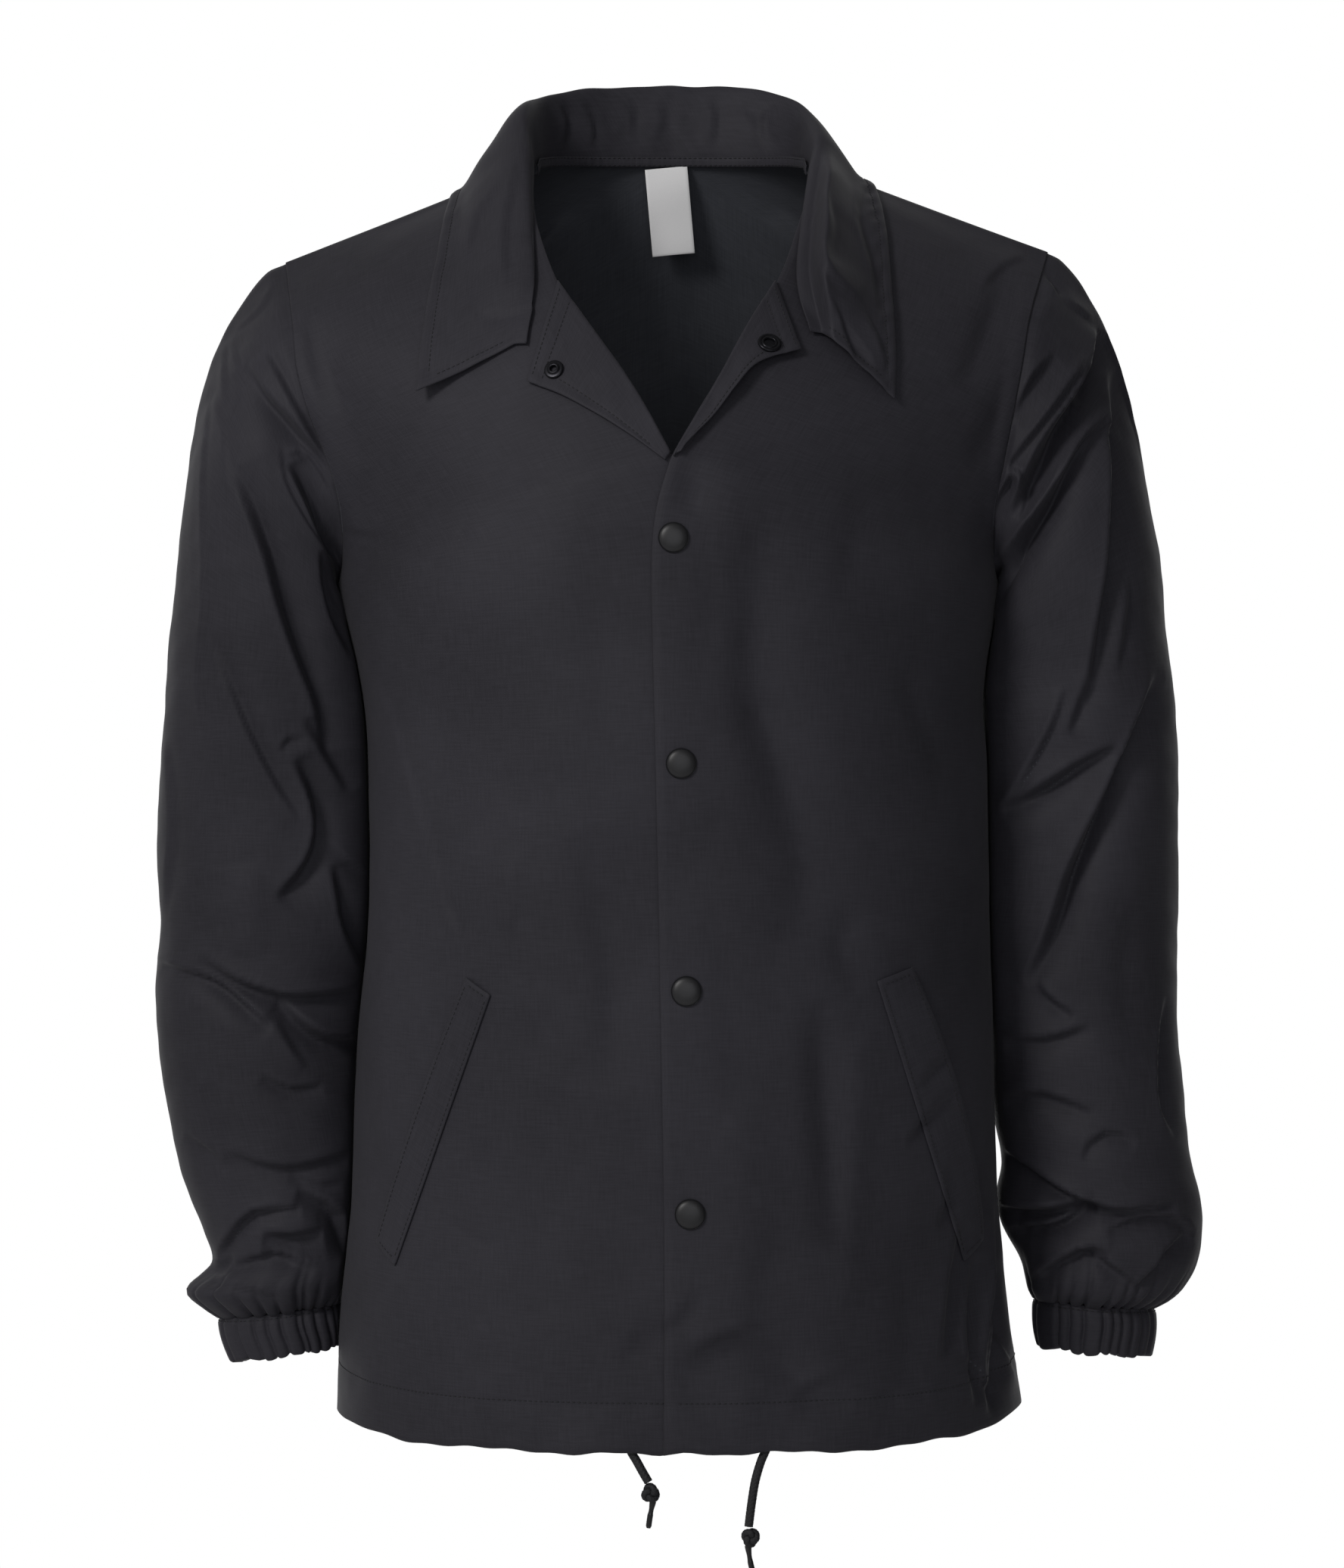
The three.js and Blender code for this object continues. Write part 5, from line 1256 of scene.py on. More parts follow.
def beside_body(points, side):
    """Presses cloth flat, with a soft bend, where it would lie inside the body."""
    reach = body_reach(side, points[..., 1], points[..., 2]) + SLEEVE_CLEAR
    x = points[..., 0] * side
    lower = 1 - smooth(ARMPIT - 20, ARMPIT - 4, points[..., 2])
    pressed = reach + np.log1p(np.exp(np.clip((x - reach) / 1.2, -30, 30))) * 1.2
    pressed = np.where(x - reach > 25, x, pressed)
    points = points.copy()
    points[..., 0] = side * mix(x, pressed, lower)
    return points


def gathers(side, turn):
    """Pleats of gathered cloth round a cuff: round, with sharp valleys, from 1 down to -1."""
    sizes = CUFF[side]
    in_front = np.arccos((np.array(VALLEYS[side]) - sizes["x"]) / sizes["wide"])
    behind = np.linspace(math.pi, 2 * math.pi, BACK_VALLEYS, endpoint=False) + 0.12
    behind = behind + 0.07 * np.sin(behind * 9)
    angle = np.asarray(turn) * 2 * math.pi
    pleats = np.ones(angle.shape)
    for valley in (*in_front, *behind):
        away = (angle - valley + math.pi) % (2 * math.pi) - math.pi
        pleats = pleats - 2 * np.exp(-np.abs(away * sizes["wide"] / VALLEY_WIDTH) ** 1.4)
    return np.maximum(pleats, -1) + 0.25 * np.sin(5 * angle)


def sleeve_points(side, turn):
    """The smooth sleeve: its head, then level sections down to the cuff."""
    cap = cap_points(side, turn, np.linspace(0, 1, CAP_ROWS, endpoint=False))
    levels = mix(CAP_END, SLEEVE[side]["z"][0], np.linspace(0, 1, ARM_ROWS))[:, None]
    return np.concatenate([cap, sleeve_section(side, levels, turn[None, :] * 2 * math.pi)])


def sleeve_relief(side, turn, points, normals):
    """Folds, unevenness, the pleats above the cuff and the fullness below the seam."""
    rows = np.arange(len(points))[:, None]
    free = smooth(0, 5, rows) * (1 - smooth(len(points) - 5, len(points) - 1, rows))
    relief = FRONT_FOLD_STRENGTH[side] * fold_relief(SLEEVE_FRONT_FOLDS[side], -1, points, normals)
    relief += fold_relief(SLEEVE_BACK_FOLDS[side], 1, points, normals)
    relief += unevenness(points, 0.6, 70, 11 + side) + unevenness(points, 0.2, 28, 5)
    pleat_length = 15 + 6 * np.sin(turn * 44 + 1) + 4 * np.sin(turn * 93)
    drawn = np.exp(-((points[..., 2] - SLEEVE[side]["z"][0]) / pleat_length[None, :]) ** 2)
    head = HEAD_FULLNESS * smooth(0, 5, rows) * np.exp(-(rows / 12) ** 2)
    pleats = PLEAT_DEPTH * gathers(side, turn)[None, :]
    return relief * free * (1 - 0.6 * drawn) + pleats * drawn + head


def across_rows(points, inward, first=False):
    """Turns in the last row of a grid, or the first."""
    step = -1 if first else 1
    return turn_in(points[::step].transpose(1, 0, 2), inward).transpose(1, 0, 2)[::step]


def sleeve(side):
    """A sleeve, turned in at the armhole and at the cuff."""
    turn = np.linspace(0, 1, SLEEVE_COLUMNS, endpoint=False)
    denser = FRONT_SHARE / (2 * math.pi)
    turn = turn - denser * np.sin(2 * math.pi * (turn - 0.25)) - denser
    points = sleeve_points(side, turn)
    normals = grid_normals(points, wraps=True)
    from_axis = points[..., 0] - points[..., 0].mean(axis=1, keepdims=True)
    normals *= np.sign((normals[..., 0] * from_axis).sum())
    relief = sleeve_relief(side, turn, points, normals)
    points = beside_body(points + normals * relief[..., None], side)
    _, inward = ring_points(side, turn)
    points = across_rows(points, inward, first=True)
    angle = turn * 2 * math.pi
    points = across_rows(points, unit(stack(-side * np.cos(angle), np.sin(angle), 0)))
    points, faces, flat = kept_tube("sleeve", side, points)
    name = NAMES[side]
    return cloth(f"cloth_sleeve_{name}", points, faces, WALL["sleeve"], flat, SHELL,
                 "nylon", f"sleeve_{name}")


cloth_sleeve = {side: sleeve(side) for side in (RIGHT, LEFT)}
for side in (RIGHT, LEFT):
    print("sleeve", NAMES[side], "area:", round(sheet_area(*SHEETS["sleeve", side]), 4))

# %% [markdown]
# The cuff is a casing of the same nylon over a band of elastic. Relaxed elastic is much
# shorter than the cloth, so the casing stands in rounded pleats with sharp valleys between.
# The pleats are fullest at mid height and flatter at the stitched top and the folded bottom.

# %% Cuffs
CUFF_ROWS = 22
CUFF_COLUMNS = 300


def cuff(side):
    """One elastic cuff, turned in at the top and the bottom."""
    sizes = CUFF[side]
    share = np.linspace(0, 1, CUFF_ROWS)[:, None]
    turn = np.linspace(0, 1, CUFF_COLUMNS, endpoint=False)[None, :]
    angle = turn * 2 * math.pi
    full = 0.6 + 0.4 * np.sin(share * math.pi)
    pleats = gathers(side, turn + 0.004 * np.sin(share * 5))
    puff = 1.2 * np.sin(share * math.pi) ** 0.7 - 2 * share + 1.3 * pleats * full
    puff = puff - np.exp(-((share - 0.06) / 0.05) ** 2)
    x = mix(sizes["x"], sizes["low_x"], share) + (sizes["wide"] + puff) * np.cos(angle)
    y = mix(sizes["y"], sizes["low_y"], share) - (sizes["deep"] + puff) * np.sin(angle)
    scallops = 0.9 * pleats + 0.8 * np.sin(angle * 7 + side)
    z = mix(sizes["top"], sizes["bottom"], share) - sizes["tilt"] / 2 * np.cos(angle) - scallops * share ** 3
    points = beside_body(stack(side * x, y, z), side)
    way = unit(stack(-side * np.cos(angle[0]), np.sin(angle[0]), 0))
    points = across_rows(across_rows(points, way), way, first=True)
    GRIDS["cuff", side] = points
    points, faces, flat = kept_tube("cuff", side, points)
    name = NAMES[side]
    return cloth(f"cloth_cuff_{name}", points, faces, WALL["cuff"], flat, [NYLON],
                 "nylon", f"cuff_{name}")


cloth_cuff = {side: cuff(side) for side in (RIGHT, LEFT)}
print("cuff area:", round(sheet_area(*SHEETS["cuff", RIGHT]), 4))

# %% [markdown]
# Lapels, pocket welts, snaps and stitches all lie on a front. To lay something there, its
# place in front view is looked up on the panel: the nearest face in front view gives the depth
# and the normal, and carries on a little past the edge, so that a lapel can roll over it.

# %% Laying on a panel
def front_view(points, faces):
    """A panel as seen from the front, ready for looking up places on it."""
    normals = point_normals(points, faces)
    flat = points * (1, 0, 1)
    facing = normals[faces].mean(axis=1)[:, 1] < -0.15
    kept = faces[facing]
    tree = BVHTree.FromPolygons(flat.tolist(), kept.tolist())
    return tree, points, kept, normals


def laid(view, x, z, lift):
    """Points at x, z in front view, lifted off the panel along its normal."""
    tree, points, faces, normals = view
    shape = np.broadcast(x, z, lift).shape
    xs, zs, lifts = (np.broadcast_to(v, shape).ravel() for v in (x, z, lift))
    places = []
    for px, pz, up in zip(xs, zs, lifts):
        _, _, number, _ = tree.find_nearest((px, 0, pz))
        corner = faces[number]
        middle = points[corner].mean(axis=0)
        normal = unit(normals[corner].mean(axis=0))
        y = middle[1] - (normal[0] * (px - middle[0]) + normal[2] * (pz - middle[2])) / normal[1]
        places.append(np.array([px, y, pz]) + normal * up)
    return np.array(places).reshape(*shape, 3)


VIEWS = {side: front_view(*SHEETS["front", side]) for side in (RIGHT, LEFT)}

# %% [markdown]
# A lapel is the front's own facing turned out. It lies on the front from the neckline to its
# stitched free edge. At the neckline it rolls over and goes inside, and along the collar it
# has a narrow bound edge. The left lapel lifts off and waves, the right one lies flat.

# %% Lapels
FACING = {
    RIGHT: table(
        "q neck_x neck_z free_x free_z lift",
        (0, 1.5, -178, 4, -181, 0), (0.25, 12.8, -156, 20, -169, 0.3), (0.5, 25.7, -134, 39.4, -156, 0.6),
        (0.75, 42.8, -109, 59.2, -144.5, 0.8), (1, 62.5, -80, 78, -136.5, 0.6),
    ),
    LEFT: table(
        "q neck_x neck_z free_x free_z lift",
        (0, 1.5, -178, 4, -177, 1), (0.25, 13.8, -157, 19.5, -160, 3.4), (0.5, 26.7, -134, 33, -142.5, 5),
        (0.75, 41, -106, 47.5, -127.5, 4.5), (1, 56.5, -80, 69, -120, 1.8),
    ),
}
FACING_LAY = 2.0
FACING_ROWS = 46
FACING_COLUMNS = 26
ROLL_ANGLES = (150, 110, 70, 35)
ROLL_COLUMNS = 1 + len(ROLL_ANGLES)
ROLL_RADIUS = 1.5
ROLL_INSIDE = 5


def with_roll(points, normals):
    """Adds the roll at the neckline to a lapel's grid: round its edge, then inside."""
    edge, away = points[:, 0], unit(points[:, 0] - points[:, 1])
    roll = [edge + away * ROLL_RADIUS * math.sin(math.radians(a))
            - normals[:, 0] * ROLL_RADIUS * (1 - math.cos(math.radians(a))) for a in ROLL_ANGLES]
    inside = roll[0] - away * ROLL_INSIDE - normals[:, 0] * 0.3
    return np.concatenate([np.stack([inside, *roll], axis=1), points], axis=1)


def facing(side):
    """One lapel: the facing laid on its front, with its roll at the neckline."""
    sizes = FACING[side]
    q = np.linspace(0, 1, FACING_ROWS)[:, None]
    share = np.linspace(0, 1, FACING_COLUMNS)[None, :]
    x = side * mix(read(sizes, "q", "neck_x", q), read(sizes, "q", "free_x", q), share)
    z = mix(read(sizes, "q", "neck_z", q), read(sizes, "q", "free_z", q), share)
    lift = FACING_LAY + read(sizes, "q", "lift", q) * share ** 2
    bound = smooth(0.915, 0.93, q)
    groove = np.exp(-((q - 0.905) / 0.012) ** 2) + np.exp(-((share - 0.86) / 0.03) ** 2) * (q > 0.12)
    lift = lift + 0.5 * bound - 0.35 * groove
    if side == LEFT:
        lift = lift + 0.9 * np.sin(q * 13 + 0.8) * share ** 2
    points = laid(VIEWS[side], x, z, lift)
    normals = grid_normals(points)
    normals *= -np.sign(normals[..., 1].sum())
    points = points + normals * unevenness(points, 0.3, 30, 21)[..., None]
    points = with_roll(points, normals)
    GRIDS["facing", side] = points
    flat = cut_map(points).reshape(-1, 2)
    faces = grid_faces(*points.shape[:2])
    points = points.reshape(-1, 3)
    front_part = np.tile(np.arange(FACING_COLUMNS + ROLL_COLUMNS) > ROLL_COLUMNS + 1, FACING_ROWS)
    looks = point_normals(points, faces)[front_part][:, 1].mean()
    faces = faces if looks < 0 else faces[:, ::-1]
    SHEETS["facing", side] = (points, faces)
    name = NAMES[side]
    return cloth(f"cloth_facing_{name}", points, faces, WALL["facing"], flat, [NYLON],
                 "nylon", f"facing_{name}")


cloth_facing = {side: facing(side) for side in (RIGHT, LEFT)}
print("lapel area:", round(sheet_area(*SHEETS["facing", RIGHT]), 5))

# %% [markdown]
# A welt pocket has a slanted strip of double cloth over its opening, stitched down along the
# sides. The strip stands 1 mm proud, its open edge a little more, where a hand goes in.

# %% Pocket welts
WELT = {
    RIGHT: dict(top=((98, -469), (111, -460)), bottom=((151, -618), (162, -607)), bow=2.0, open_lift=1.2),
    LEFT: dict(top=((111, -462), (130, -455)), bottom=((160, -617), (171, -607)), bow=6.0, open_lift=3.2),
}
WELT_ROWS = 64
WELT_COLUMNS = 12


def welt(side):
    """One pocket welt."""
    sizes = WELT[side]
    down = np.linspace(0, 1, WELT_ROWS)[:, None]
    share = np.linspace(0, 1, WELT_COLUMNS)[None, :]
    corners = np.array([sizes["top"], sizes["bottom"]], float)
    inner = mix(corners[0, 0], corners[1, 0], down[..., None])
    outer = mix(corners[0, 1], corners[1, 1], down[..., None])
    place = mix(inner, outer, share[..., None])
    x = side * (place[..., 0] + sizes["bow"] * np.sin(down * math.pi) * share)
    middle = np.sin(down * math.pi) ** 0.5
    lift = 1.3 + 0.5 * np.sin(share * math.pi) + sizes["open_lift"] * share ** 3 * middle
    lift = lift - 0.4 * np.exp(-((share - 0.14) / 0.06) ** 2)
    points = laid(VIEWS[side], x, place[..., 1], lift)
    GRIDS["welt", side] = points
    points, faces, flat = kept_sheet("welt", side, points)
    name = NAMES[side]
    return cloth(f"cloth_welt_{name}", points, faces, WALL["welt"], flat, [NYLON],
                 "nylon", f"welt_{name}")


cloth_welt = {side: welt(side) for side in (RIGHT, LEFT)}
print("welt area:", round(sheet_area(*SHEETS["welt", RIGHT]), 5))

# %% [markdown]
# The collar is one piece: a stand rises from the neckline, rolls over and falls as the leaf.
# Two curves shape each column, one up to the roll and one down to the free edge. Where the
# leaf would sink into the shoulders or the lapels, it is pushed out to lie on them.

# %% Collar sizes and folds
COLLAR = {
    RIGHT: table(
        "station x y z stand edge_x edge_y edge_z",
        (0, 0, 78, 9, 45, 0, 98, 2), (1, 38, 72, 8, 44, 52, 94, -1), (2, 66, 52, 6, 38, 98, 72, -8),
        (3, 77, 16, 0, 32, 122, 24, -17), (4, 77.5, -12, -14, 20, 127, -8, -35),
        (5, 76.5, -48, -45, 10, 131, -42, -62), (6, 75, -82, -80, 4, 137, -76, -102),
        (7, 77.5, -96, -118, 1.5, 140, -98, -139.5),
    ),
    LEFT: table(
        "station x y z stand edge_x edge_y edge_z",
        (0, 0, 78, 9, 45, 0, 98, 2), (1, 38, 72, 8, 44, 51, 94, -1), (2, 66, 52, 6, 35, 88, 72, -8),
        (3, 77, 16, 0, 19, 111, 24, -13), (4, 76, -12, -14, 12, 116, -8, -35),
        (5, 71, -48, -45, 9, 120, -42, -64), (6, 68, -82, -78, 4.5, 122, -76, -102),
        (7, 74, -96, -110, 1.5, 122, -98, -144),
    ),
}
LAST_STATION = 7
ROLL_REACH = 0.17
CREST_HEIGHT = 24
CREST_PLACE = 0.2
COLLAR_COLUMNS = 118
STAND_ROWS = 16
LEAF_ROWS = 40
COLLAR_CLEAR = 3.2
SEWN_CLEAR = 0.1
FOOT_TUCK = 7
RIM_IN = 6
PUSH_DEPTH = 25
PUSH_ASIDE = 3
COLLAR_FRONT_FOLDS = [
    ([(-64, 40), (-58, 28), (-63, 14)], 5, -2.2),
    ([(-52, 42), (-44, 30), (-46, 16)], 4, -1.7),
    ([(-40, 36), (-30, 26), (-16, 22)], 3.6, -1.6),
    ([(-26, 44), (-20, 34), (-26, 24)], 4, -1.5),
    ([(-8, 44), (-2, 32), (-10, 22)], 3.6, -1.5),
    ([(2, 38), (12, 33), (18, 22)], 3.6, -1.6),
    ([(22, 46), (28, 34), (24, 20)], 4, -1.8),
    ([(34, 40), (44, 35), (52, 24)], 3.6, -1.5),
    ([(58, 40), (52, 28), (60, 14)], 5, -2.2),
    ([(-36, 16), (-20, 13), (-4, 17)], 3.4, -0.9),
    ([(-84, -4), (-90, -44), (-88, -80)], 9, -1.6),
    ([(-112, -60), (-106, -90), (-112, -120)], 10, -1.2),
    ([(-98, -16), (-110, -36), (-116, -62)], 7, 1.4),
    ([(-74, -94), (-90, -98), (-108, -96)], 5, -1.0),
    ([(86, -14), (92, -44), (88, -70)], 9, -2.0),
    ([(80, -58), (90, -79), (104, -88)], 6, 2.4),
    ([(86, -90), (93, -107), (99, -124)], 5, 2.2),
    ([(104, -36), (112, -64), (116, -96)], 6, -2.4),
    ([(92, -104), (102, -116), (110, -128)], 5, -2.2),
    ([(104, -96), (112, -112), (116, -126)], 5, 2.0),
    ([(112, -14), (106, -34), (112, -56)], 6, -1.6),
]


# %% Collar shape
def collar_points():
    """The collar's grid, from its right end to its left one, and its stations."""
    column = np.linspace(-1, 1, 2 * COLLAR_COLUMNS + 1)
    station = np.abs(column) * LAST_STATION
    side = np.where(column > 0, LEFT, RIGHT)

    def both(name):
        sizes = (read(COLLAR[RIGHT], "station", name, station), read(COLLAR[LEFT], "station", name, station))
        return np.where(column > 0, sizes[1], sizes[0])

    seam = stack(side * both("x"), both("y"), both("z"))
    edge = stack(side * both("edge_x"), both("edge_y"), both("edge_z"))
    stand = both("stand")
    outward = (edge - seam) * (1, 1, 0)
    lean = np.minimum(np.linalg.norm(outward, axis=-1) * 0.3, 7)[:, None]
    outward = unit(outward)
    up = stack(0, 0, stand)
    foot = seam + outward * 0.6 + (0, 0, 0.5)
    top = foot + outward * lean + up
    foot = foot - stack(0, 0, FOOT_TUCK * (1 - smooth(2, 4, station)))
    rounding = np.minimum(lean * 0.75, stand[:, None])
    drop = np.linalg.norm(top - edge, axis=-1, keepdims=True)
    rise = bezier(foot, foot + up * 0.6, top - outward * rounding, top,
                  np.linspace(0, 1, STAND_ROWS, endpoint=False)[:, None, None])
    rolling = unit(mix(outward, unit(edge - top), smooth(6, 7, station)[:, None]))
    fall = bezier(top, top + rolling * np.maximum(rounding, drop * ROLL_REACH), mix(edge, top, 0.35), edge,
                  np.linspace(0, 1, LEAF_ROWS + 1)[:, None, None])
    return np.concatenate([rise, fall]), station


# %% Collar
def softened(shift):
    """Evens out how far the collar's points move, apart from its first rows."""
    for _ in range(4):
        padded = np.pad(shift, ((1, 1), (1, 1), (0, 0)), mode="edge")
        around = padded[:-2, 1:-1] + padded[2:, 1:-1] + padded[1:-1, :-2] + padded[1:-1, 2:]
        past_foot = np.arange(len(shift))[:, None, None] > 2
        shift = np.where(past_foot, (shift + around) / 5, shift)
    return shift


def pushed_clear(points, station):
    """Moves the collar out wherever it is too close to the cloth under it."""
    under = [SHEETS[key] for key in (("front", RIGHT), ("front", LEFT), ("back", 0),
                                     ("facing", RIGHT), ("facing", LEFT))]
    trees = [BVHTree.FromPolygons(p.tolist(), f.tolist()) for p, f in under]
    rows = np.arange(len(points))[:, None]
    flatness = np.maximum(smooth(3.5, 6, station)[None, :], smooth(0, STAND_ROWS, rows))
    clearance = mix(SEWN_CLEAR, COLLAR_CLEAR, flatness)
    moved = points.copy()
    for _ in range(3):
        push = np.zeros_like(moved)
        for (i, j) in np.ndindex(moved.shape[:2]):
            point = Vector(moved[i, j])
            for tree in trees:
                spot, normal, _, distance = tree.find_nearest(point)
                height = (point - spot).dot(normal)
                aside = math.sqrt(max(distance * distance - height * height, 0))
                if aside > PUSH_ASIDE or height > clearance[i, j] or height < -PUSH_DEPTH:
                    continue
                point += normal * (clearance[i, j] - height)
            push[i, j] = np.array(point) - moved[i, j]
        moved = moved + push
    return points + softened(moved - points)


def rest_of_way(points):
    """How far each point of a grid is from the last row, along its column."""
    steps = np.linalg.norm(np.diff(points, axis=0), axis=-1)
    return np.concatenate([np.cumsum(steps[::-1], axis=0)[::-1], np.zeros((1, points.shape[1]))])


def collar_rim(points, station):
    """The groove of the stitches round the leaf, with its puckers, fuller on the left leaf."""
    to_edge = rest_of_way(points)
    from_end = cut_map(points)[..., 0]
    to_end = np.minimum(from_end, from_end[:, -1:] - from_end)
    on_leaf = np.arange(len(points))[:, None] > STAND_ROWS
    edge = np.minimum(to_edge, np.where(on_leaf, to_end, 99))
    groove = -0.4 * np.exp(-((edge - RIM_IN) / 1.3) ** 2) + 0.25 * np.exp(-((edge - RIM_IN / 2) / 2) ** 2)
    ripple = np.sin(from_end / 2.7 + 2 * np.sin(from_end / 17))
    fuller = np.where(station * np.sign(points[0, :, 0]) > 3.4, 2.4, 0.6)[None, :]
    return groove + 0.22 * ripple * np.exp(-((to_edge - RIM_IN) / 4) ** 2) * fuller


def left_crest(points, station):
    """How far the left leaf, which is twisted, stands forwards below its roll."""
    down = (np.clip(np.arange(len(points)) - STAND_ROWS, 0, None) / LEAF_ROWS)[:, None]
    on_left = points[0, :, 0] > 0
    twisted = (smooth(3.4, 4.8, station) * (1 - 0.7 * smooth(5.8, 7, station)) * on_left)[None, :]
    falling = 1.06 - np.clip((down - CREST_PLACE) / (1 - CREST_PLACE), 0, 1)
    return CREST_HEIGHT * np.minimum(smooth(0, CREST_PLACE * 1.2, down), falling) * twisted


def collar():
    """The collar, pushed clear of the jacket, with its folds and its rim."""
    points, station = collar_points()
    points = pushed_clear(points, station)
    normals = grid_normals(points)
    leaf = normals[STAND_ROWS + 12:-4, 20:60]
    normals *= -np.sign(leaf[..., 1].sum() + leaf[..., 0].sum())
    relief = fold_relief(COLLAR_FRONT_FOLDS, -1, points, normals) + unevenness(points, 0.35, 38, 31)
    relief = (relief + collar_rim(points, station)) * smooth(0, 4, np.arange(len(points)))[:, None]
    points = points + normals * relief[..., None] - stack(0, left_crest(points, station), 0)
    GRIDS["collar", 0] = points
    flat = cut_map(points).reshape(-1, 2)
    faces = grid_faces(*points.shape[:2])
    points = points.reshape(-1, 3)
    if (point_normals(points, faces) * normals.reshape(-1, 3)).sum() < 0:
        faces = faces[:, ::-1]
    SHEETS["collar", 0] = (points, faces)
    return cloth("cloth_collar", points, faces, WALL["collar"], flat, [NYLON], "nylon", "collar")


cloth_collar = collar()
print("collar area:", round(sheet_area(*SHEETS["collar", 0]), 4))

# %% [markdown]
# Inside the back neck a narrow tape covers the seam, and the care label hangs from it. The
# label is left bare. It is a thin ribbon of woven satin, folded in at its ends, and it hangs a
# little askew with a slight curl.

# %% Neck tape and label
TAPE_IN = 2.6
TAPE_RISE = 2.5
TAPE_DROP = 3.0
LABEL_X = -3.5
LABEL_WIDTH = 24.5
LABEL_LENGTH = 50
LABEL_TILT = 0.09
LABEL_LEAN = 7


def tape_point(step, rise):
    """A place on the neck tape: step is how far round the neckline; past 4 it runs on in front."""
    back_t, front_t = (7 + np.minimum(np.abs(step), 4)) / 11, 1 - np.maximum(np.abs(step) - 4, 0) / 11
    behind, ahead = ([read(rows, "t", name, t) for name in "xyz"]
                     for rows, t in ((BACK_NECK, back_t), (FRONT_NECK, front_t)))
    x, y, z = (np.where(np.abs(step) < 4, b, a) for b, a in zip(behind, ahead))
    point = stack(np.sign(step) * x, y, z)
    outward = unit((point - (0, ARMHOLE_CENTRE[0], 0)) * (1, 1, 0))
    return point - outward * TAPE_IN + stack(0, 0, rise)


def neck_tape():
    """The tape over the neck seam, slightly puckered."""
    step = np.linspace(-4.6, 4.6, 180)[None, :]
    share = np.linspace(0, 1, 9)[:, None]
    points = tape_point(step, mix(-TAPE_DROP, TAPE_RISE, share))
    away = unit((points - (0, ARMHOLE_CENTRE[0], 0)) * (1, 1, 0))
    bulge = 0.35 * np.sin(share * math.pi) + 0.12 * np.sin(step * 40 + 3 * np.sin(step * 5))
    points = points - away * bulge[..., None]
    GRIDS["tape", 0] = points
    points, faces, flat = kept_sheet("tape", 0, points)
    return cloth("cloth_neck_tape", points, faces, WALL["tape"], flat, [TAPE_NYLON],
                 "tape", "neck_tape")


def care_label():
    """The bare label below the tape."""
    top = tape_point(np.array([0.001]), -TAPE_DROP - 0.9)[0]
    down = np.linspace(0, 1, 40)[:, None]
    share = np.linspace(-0.5, 0.5, 16)[None, :]
    x = LABEL_X + share * LABEL_WIDTH + LABEL_TILT * LABEL_LENGTH * down
    z = top[2] - LABEL_LENGTH * down + LABEL_TILT * share * LABEL_WIDTH
    curl = 0.9 * np.cos(share * math.pi) * down + 0.5 * np.sin(down * 7 + share)
    points = stack(x, top[1] + LABEL_LEAN * down ** 2 - curl, z)
    points, faces, flat = kept_sheet("label", 0, points)
    return cloth("cloth_care_label", points, faces, WALL["label"], flat, [LABEL_SATIN],
                 "label", "care_label")


cloth_tape = neck_tape()
cloth_label = care_label()
print("tape and label areas:", [round(sheet_area(*SHEETS[k, 0]), 5) for k in ("tape", "label")])

# %% [markdown]
# Stitches show as a row of small raised grains, 2 mm of thread with a gap of 0.9 mm. Each is a
# little spindle, and a whole seam is one mesh made from arrays, as thousands of objects would
# be slow. The lines follow the grids of the pieces, so they sit exactly in their grooves.

# %% Stitches
STITCH_LENGTH = 2.1
STITCH_PITCH = 3.0
STITCH_RADIUS = 0.3
STITCH_LIFT = 0.12
STITCH_SIDES = 5
STITCH_POINTS = 2 * STITCH_SIDES + 2


def stitch_points(middle, along, up):
    """One stitch: a spindle with a point, two rings and a point."""
    side = unit(np.cross(along, up))
    half = along * STITCH_LENGTH / 2
    points = [middle - half]
    for place in (-0.45, 0.45):
        for a in np.linspace(0, 2 * math.pi, STITCH_SIDES, endpoint=False):
            points.append(middle + half * place + (math.cos(a) * side + math.sin(a) * up) * STITCH_RADIUS)
    return [*points, middle + half]


def stitch_faces(first):
    """The faces of a stitch whose points start at number first."""
    ring, last = first + 1, first + STITCH_POINTS - 1
    for k in range(STITCH_SIDES):
        m = (k + 1) % STITCH_SIDES
        yield [first, ring + m, ring + k]
        yield [ring + k, ring + m, ring + STITCH_SIDES + m, ring + STITCH_SIDES + k]
        yield [last, ring + STITCH_SIDES + k, ring + STITCH_SIDES + m]


def stitch_seam(lines):
    """Points and faces of all stitches along the lines; a line is its points and normals."""
    points, faces = [], []
    for line, normals in lines:
        even = even_line(line, STITCH_PITCH)
        reach = way_along(line)
        places = np.linspace(0, reach[-1], len(even))
        up = unit(np.stack([np.interp(places, reach, normals[:, k]) for k in range(3)], -1))
        along = unit(np.gradient(even, axis=0))
        for k in range(1, len(even) - 1):
            faces.extend(stitch_faces(len(points)))
            points.extend(stitch_points(even[k] + up[k] * STITCH_LIFT, along[k], up[k]))
    return points, faces


def stitches(name, lines):
    """Adds the stitches along some lines as one piece."""
    points, faces = stitch_seam(lines)
    piece = add_piece(name, points, faces, SPUN_THREAD)
    print(name, "stitches:", len(points) // STITCH_POINTS)
    return set_in_place(piece, "nylon")


def grid_line(key, side, row=None, column=None, span=slice(None), face=-1):
    """A row or a column of a piece's grid, with its normals."""
    grid = GRIDS[key, side]
    normals = grid_normals(grid)
    normals = normals * np.sign((normals[..., 1] * face).sum())
    chosen = (row, span) if row is not None else (span, column)
    return grid[chosen], normals[chosen]


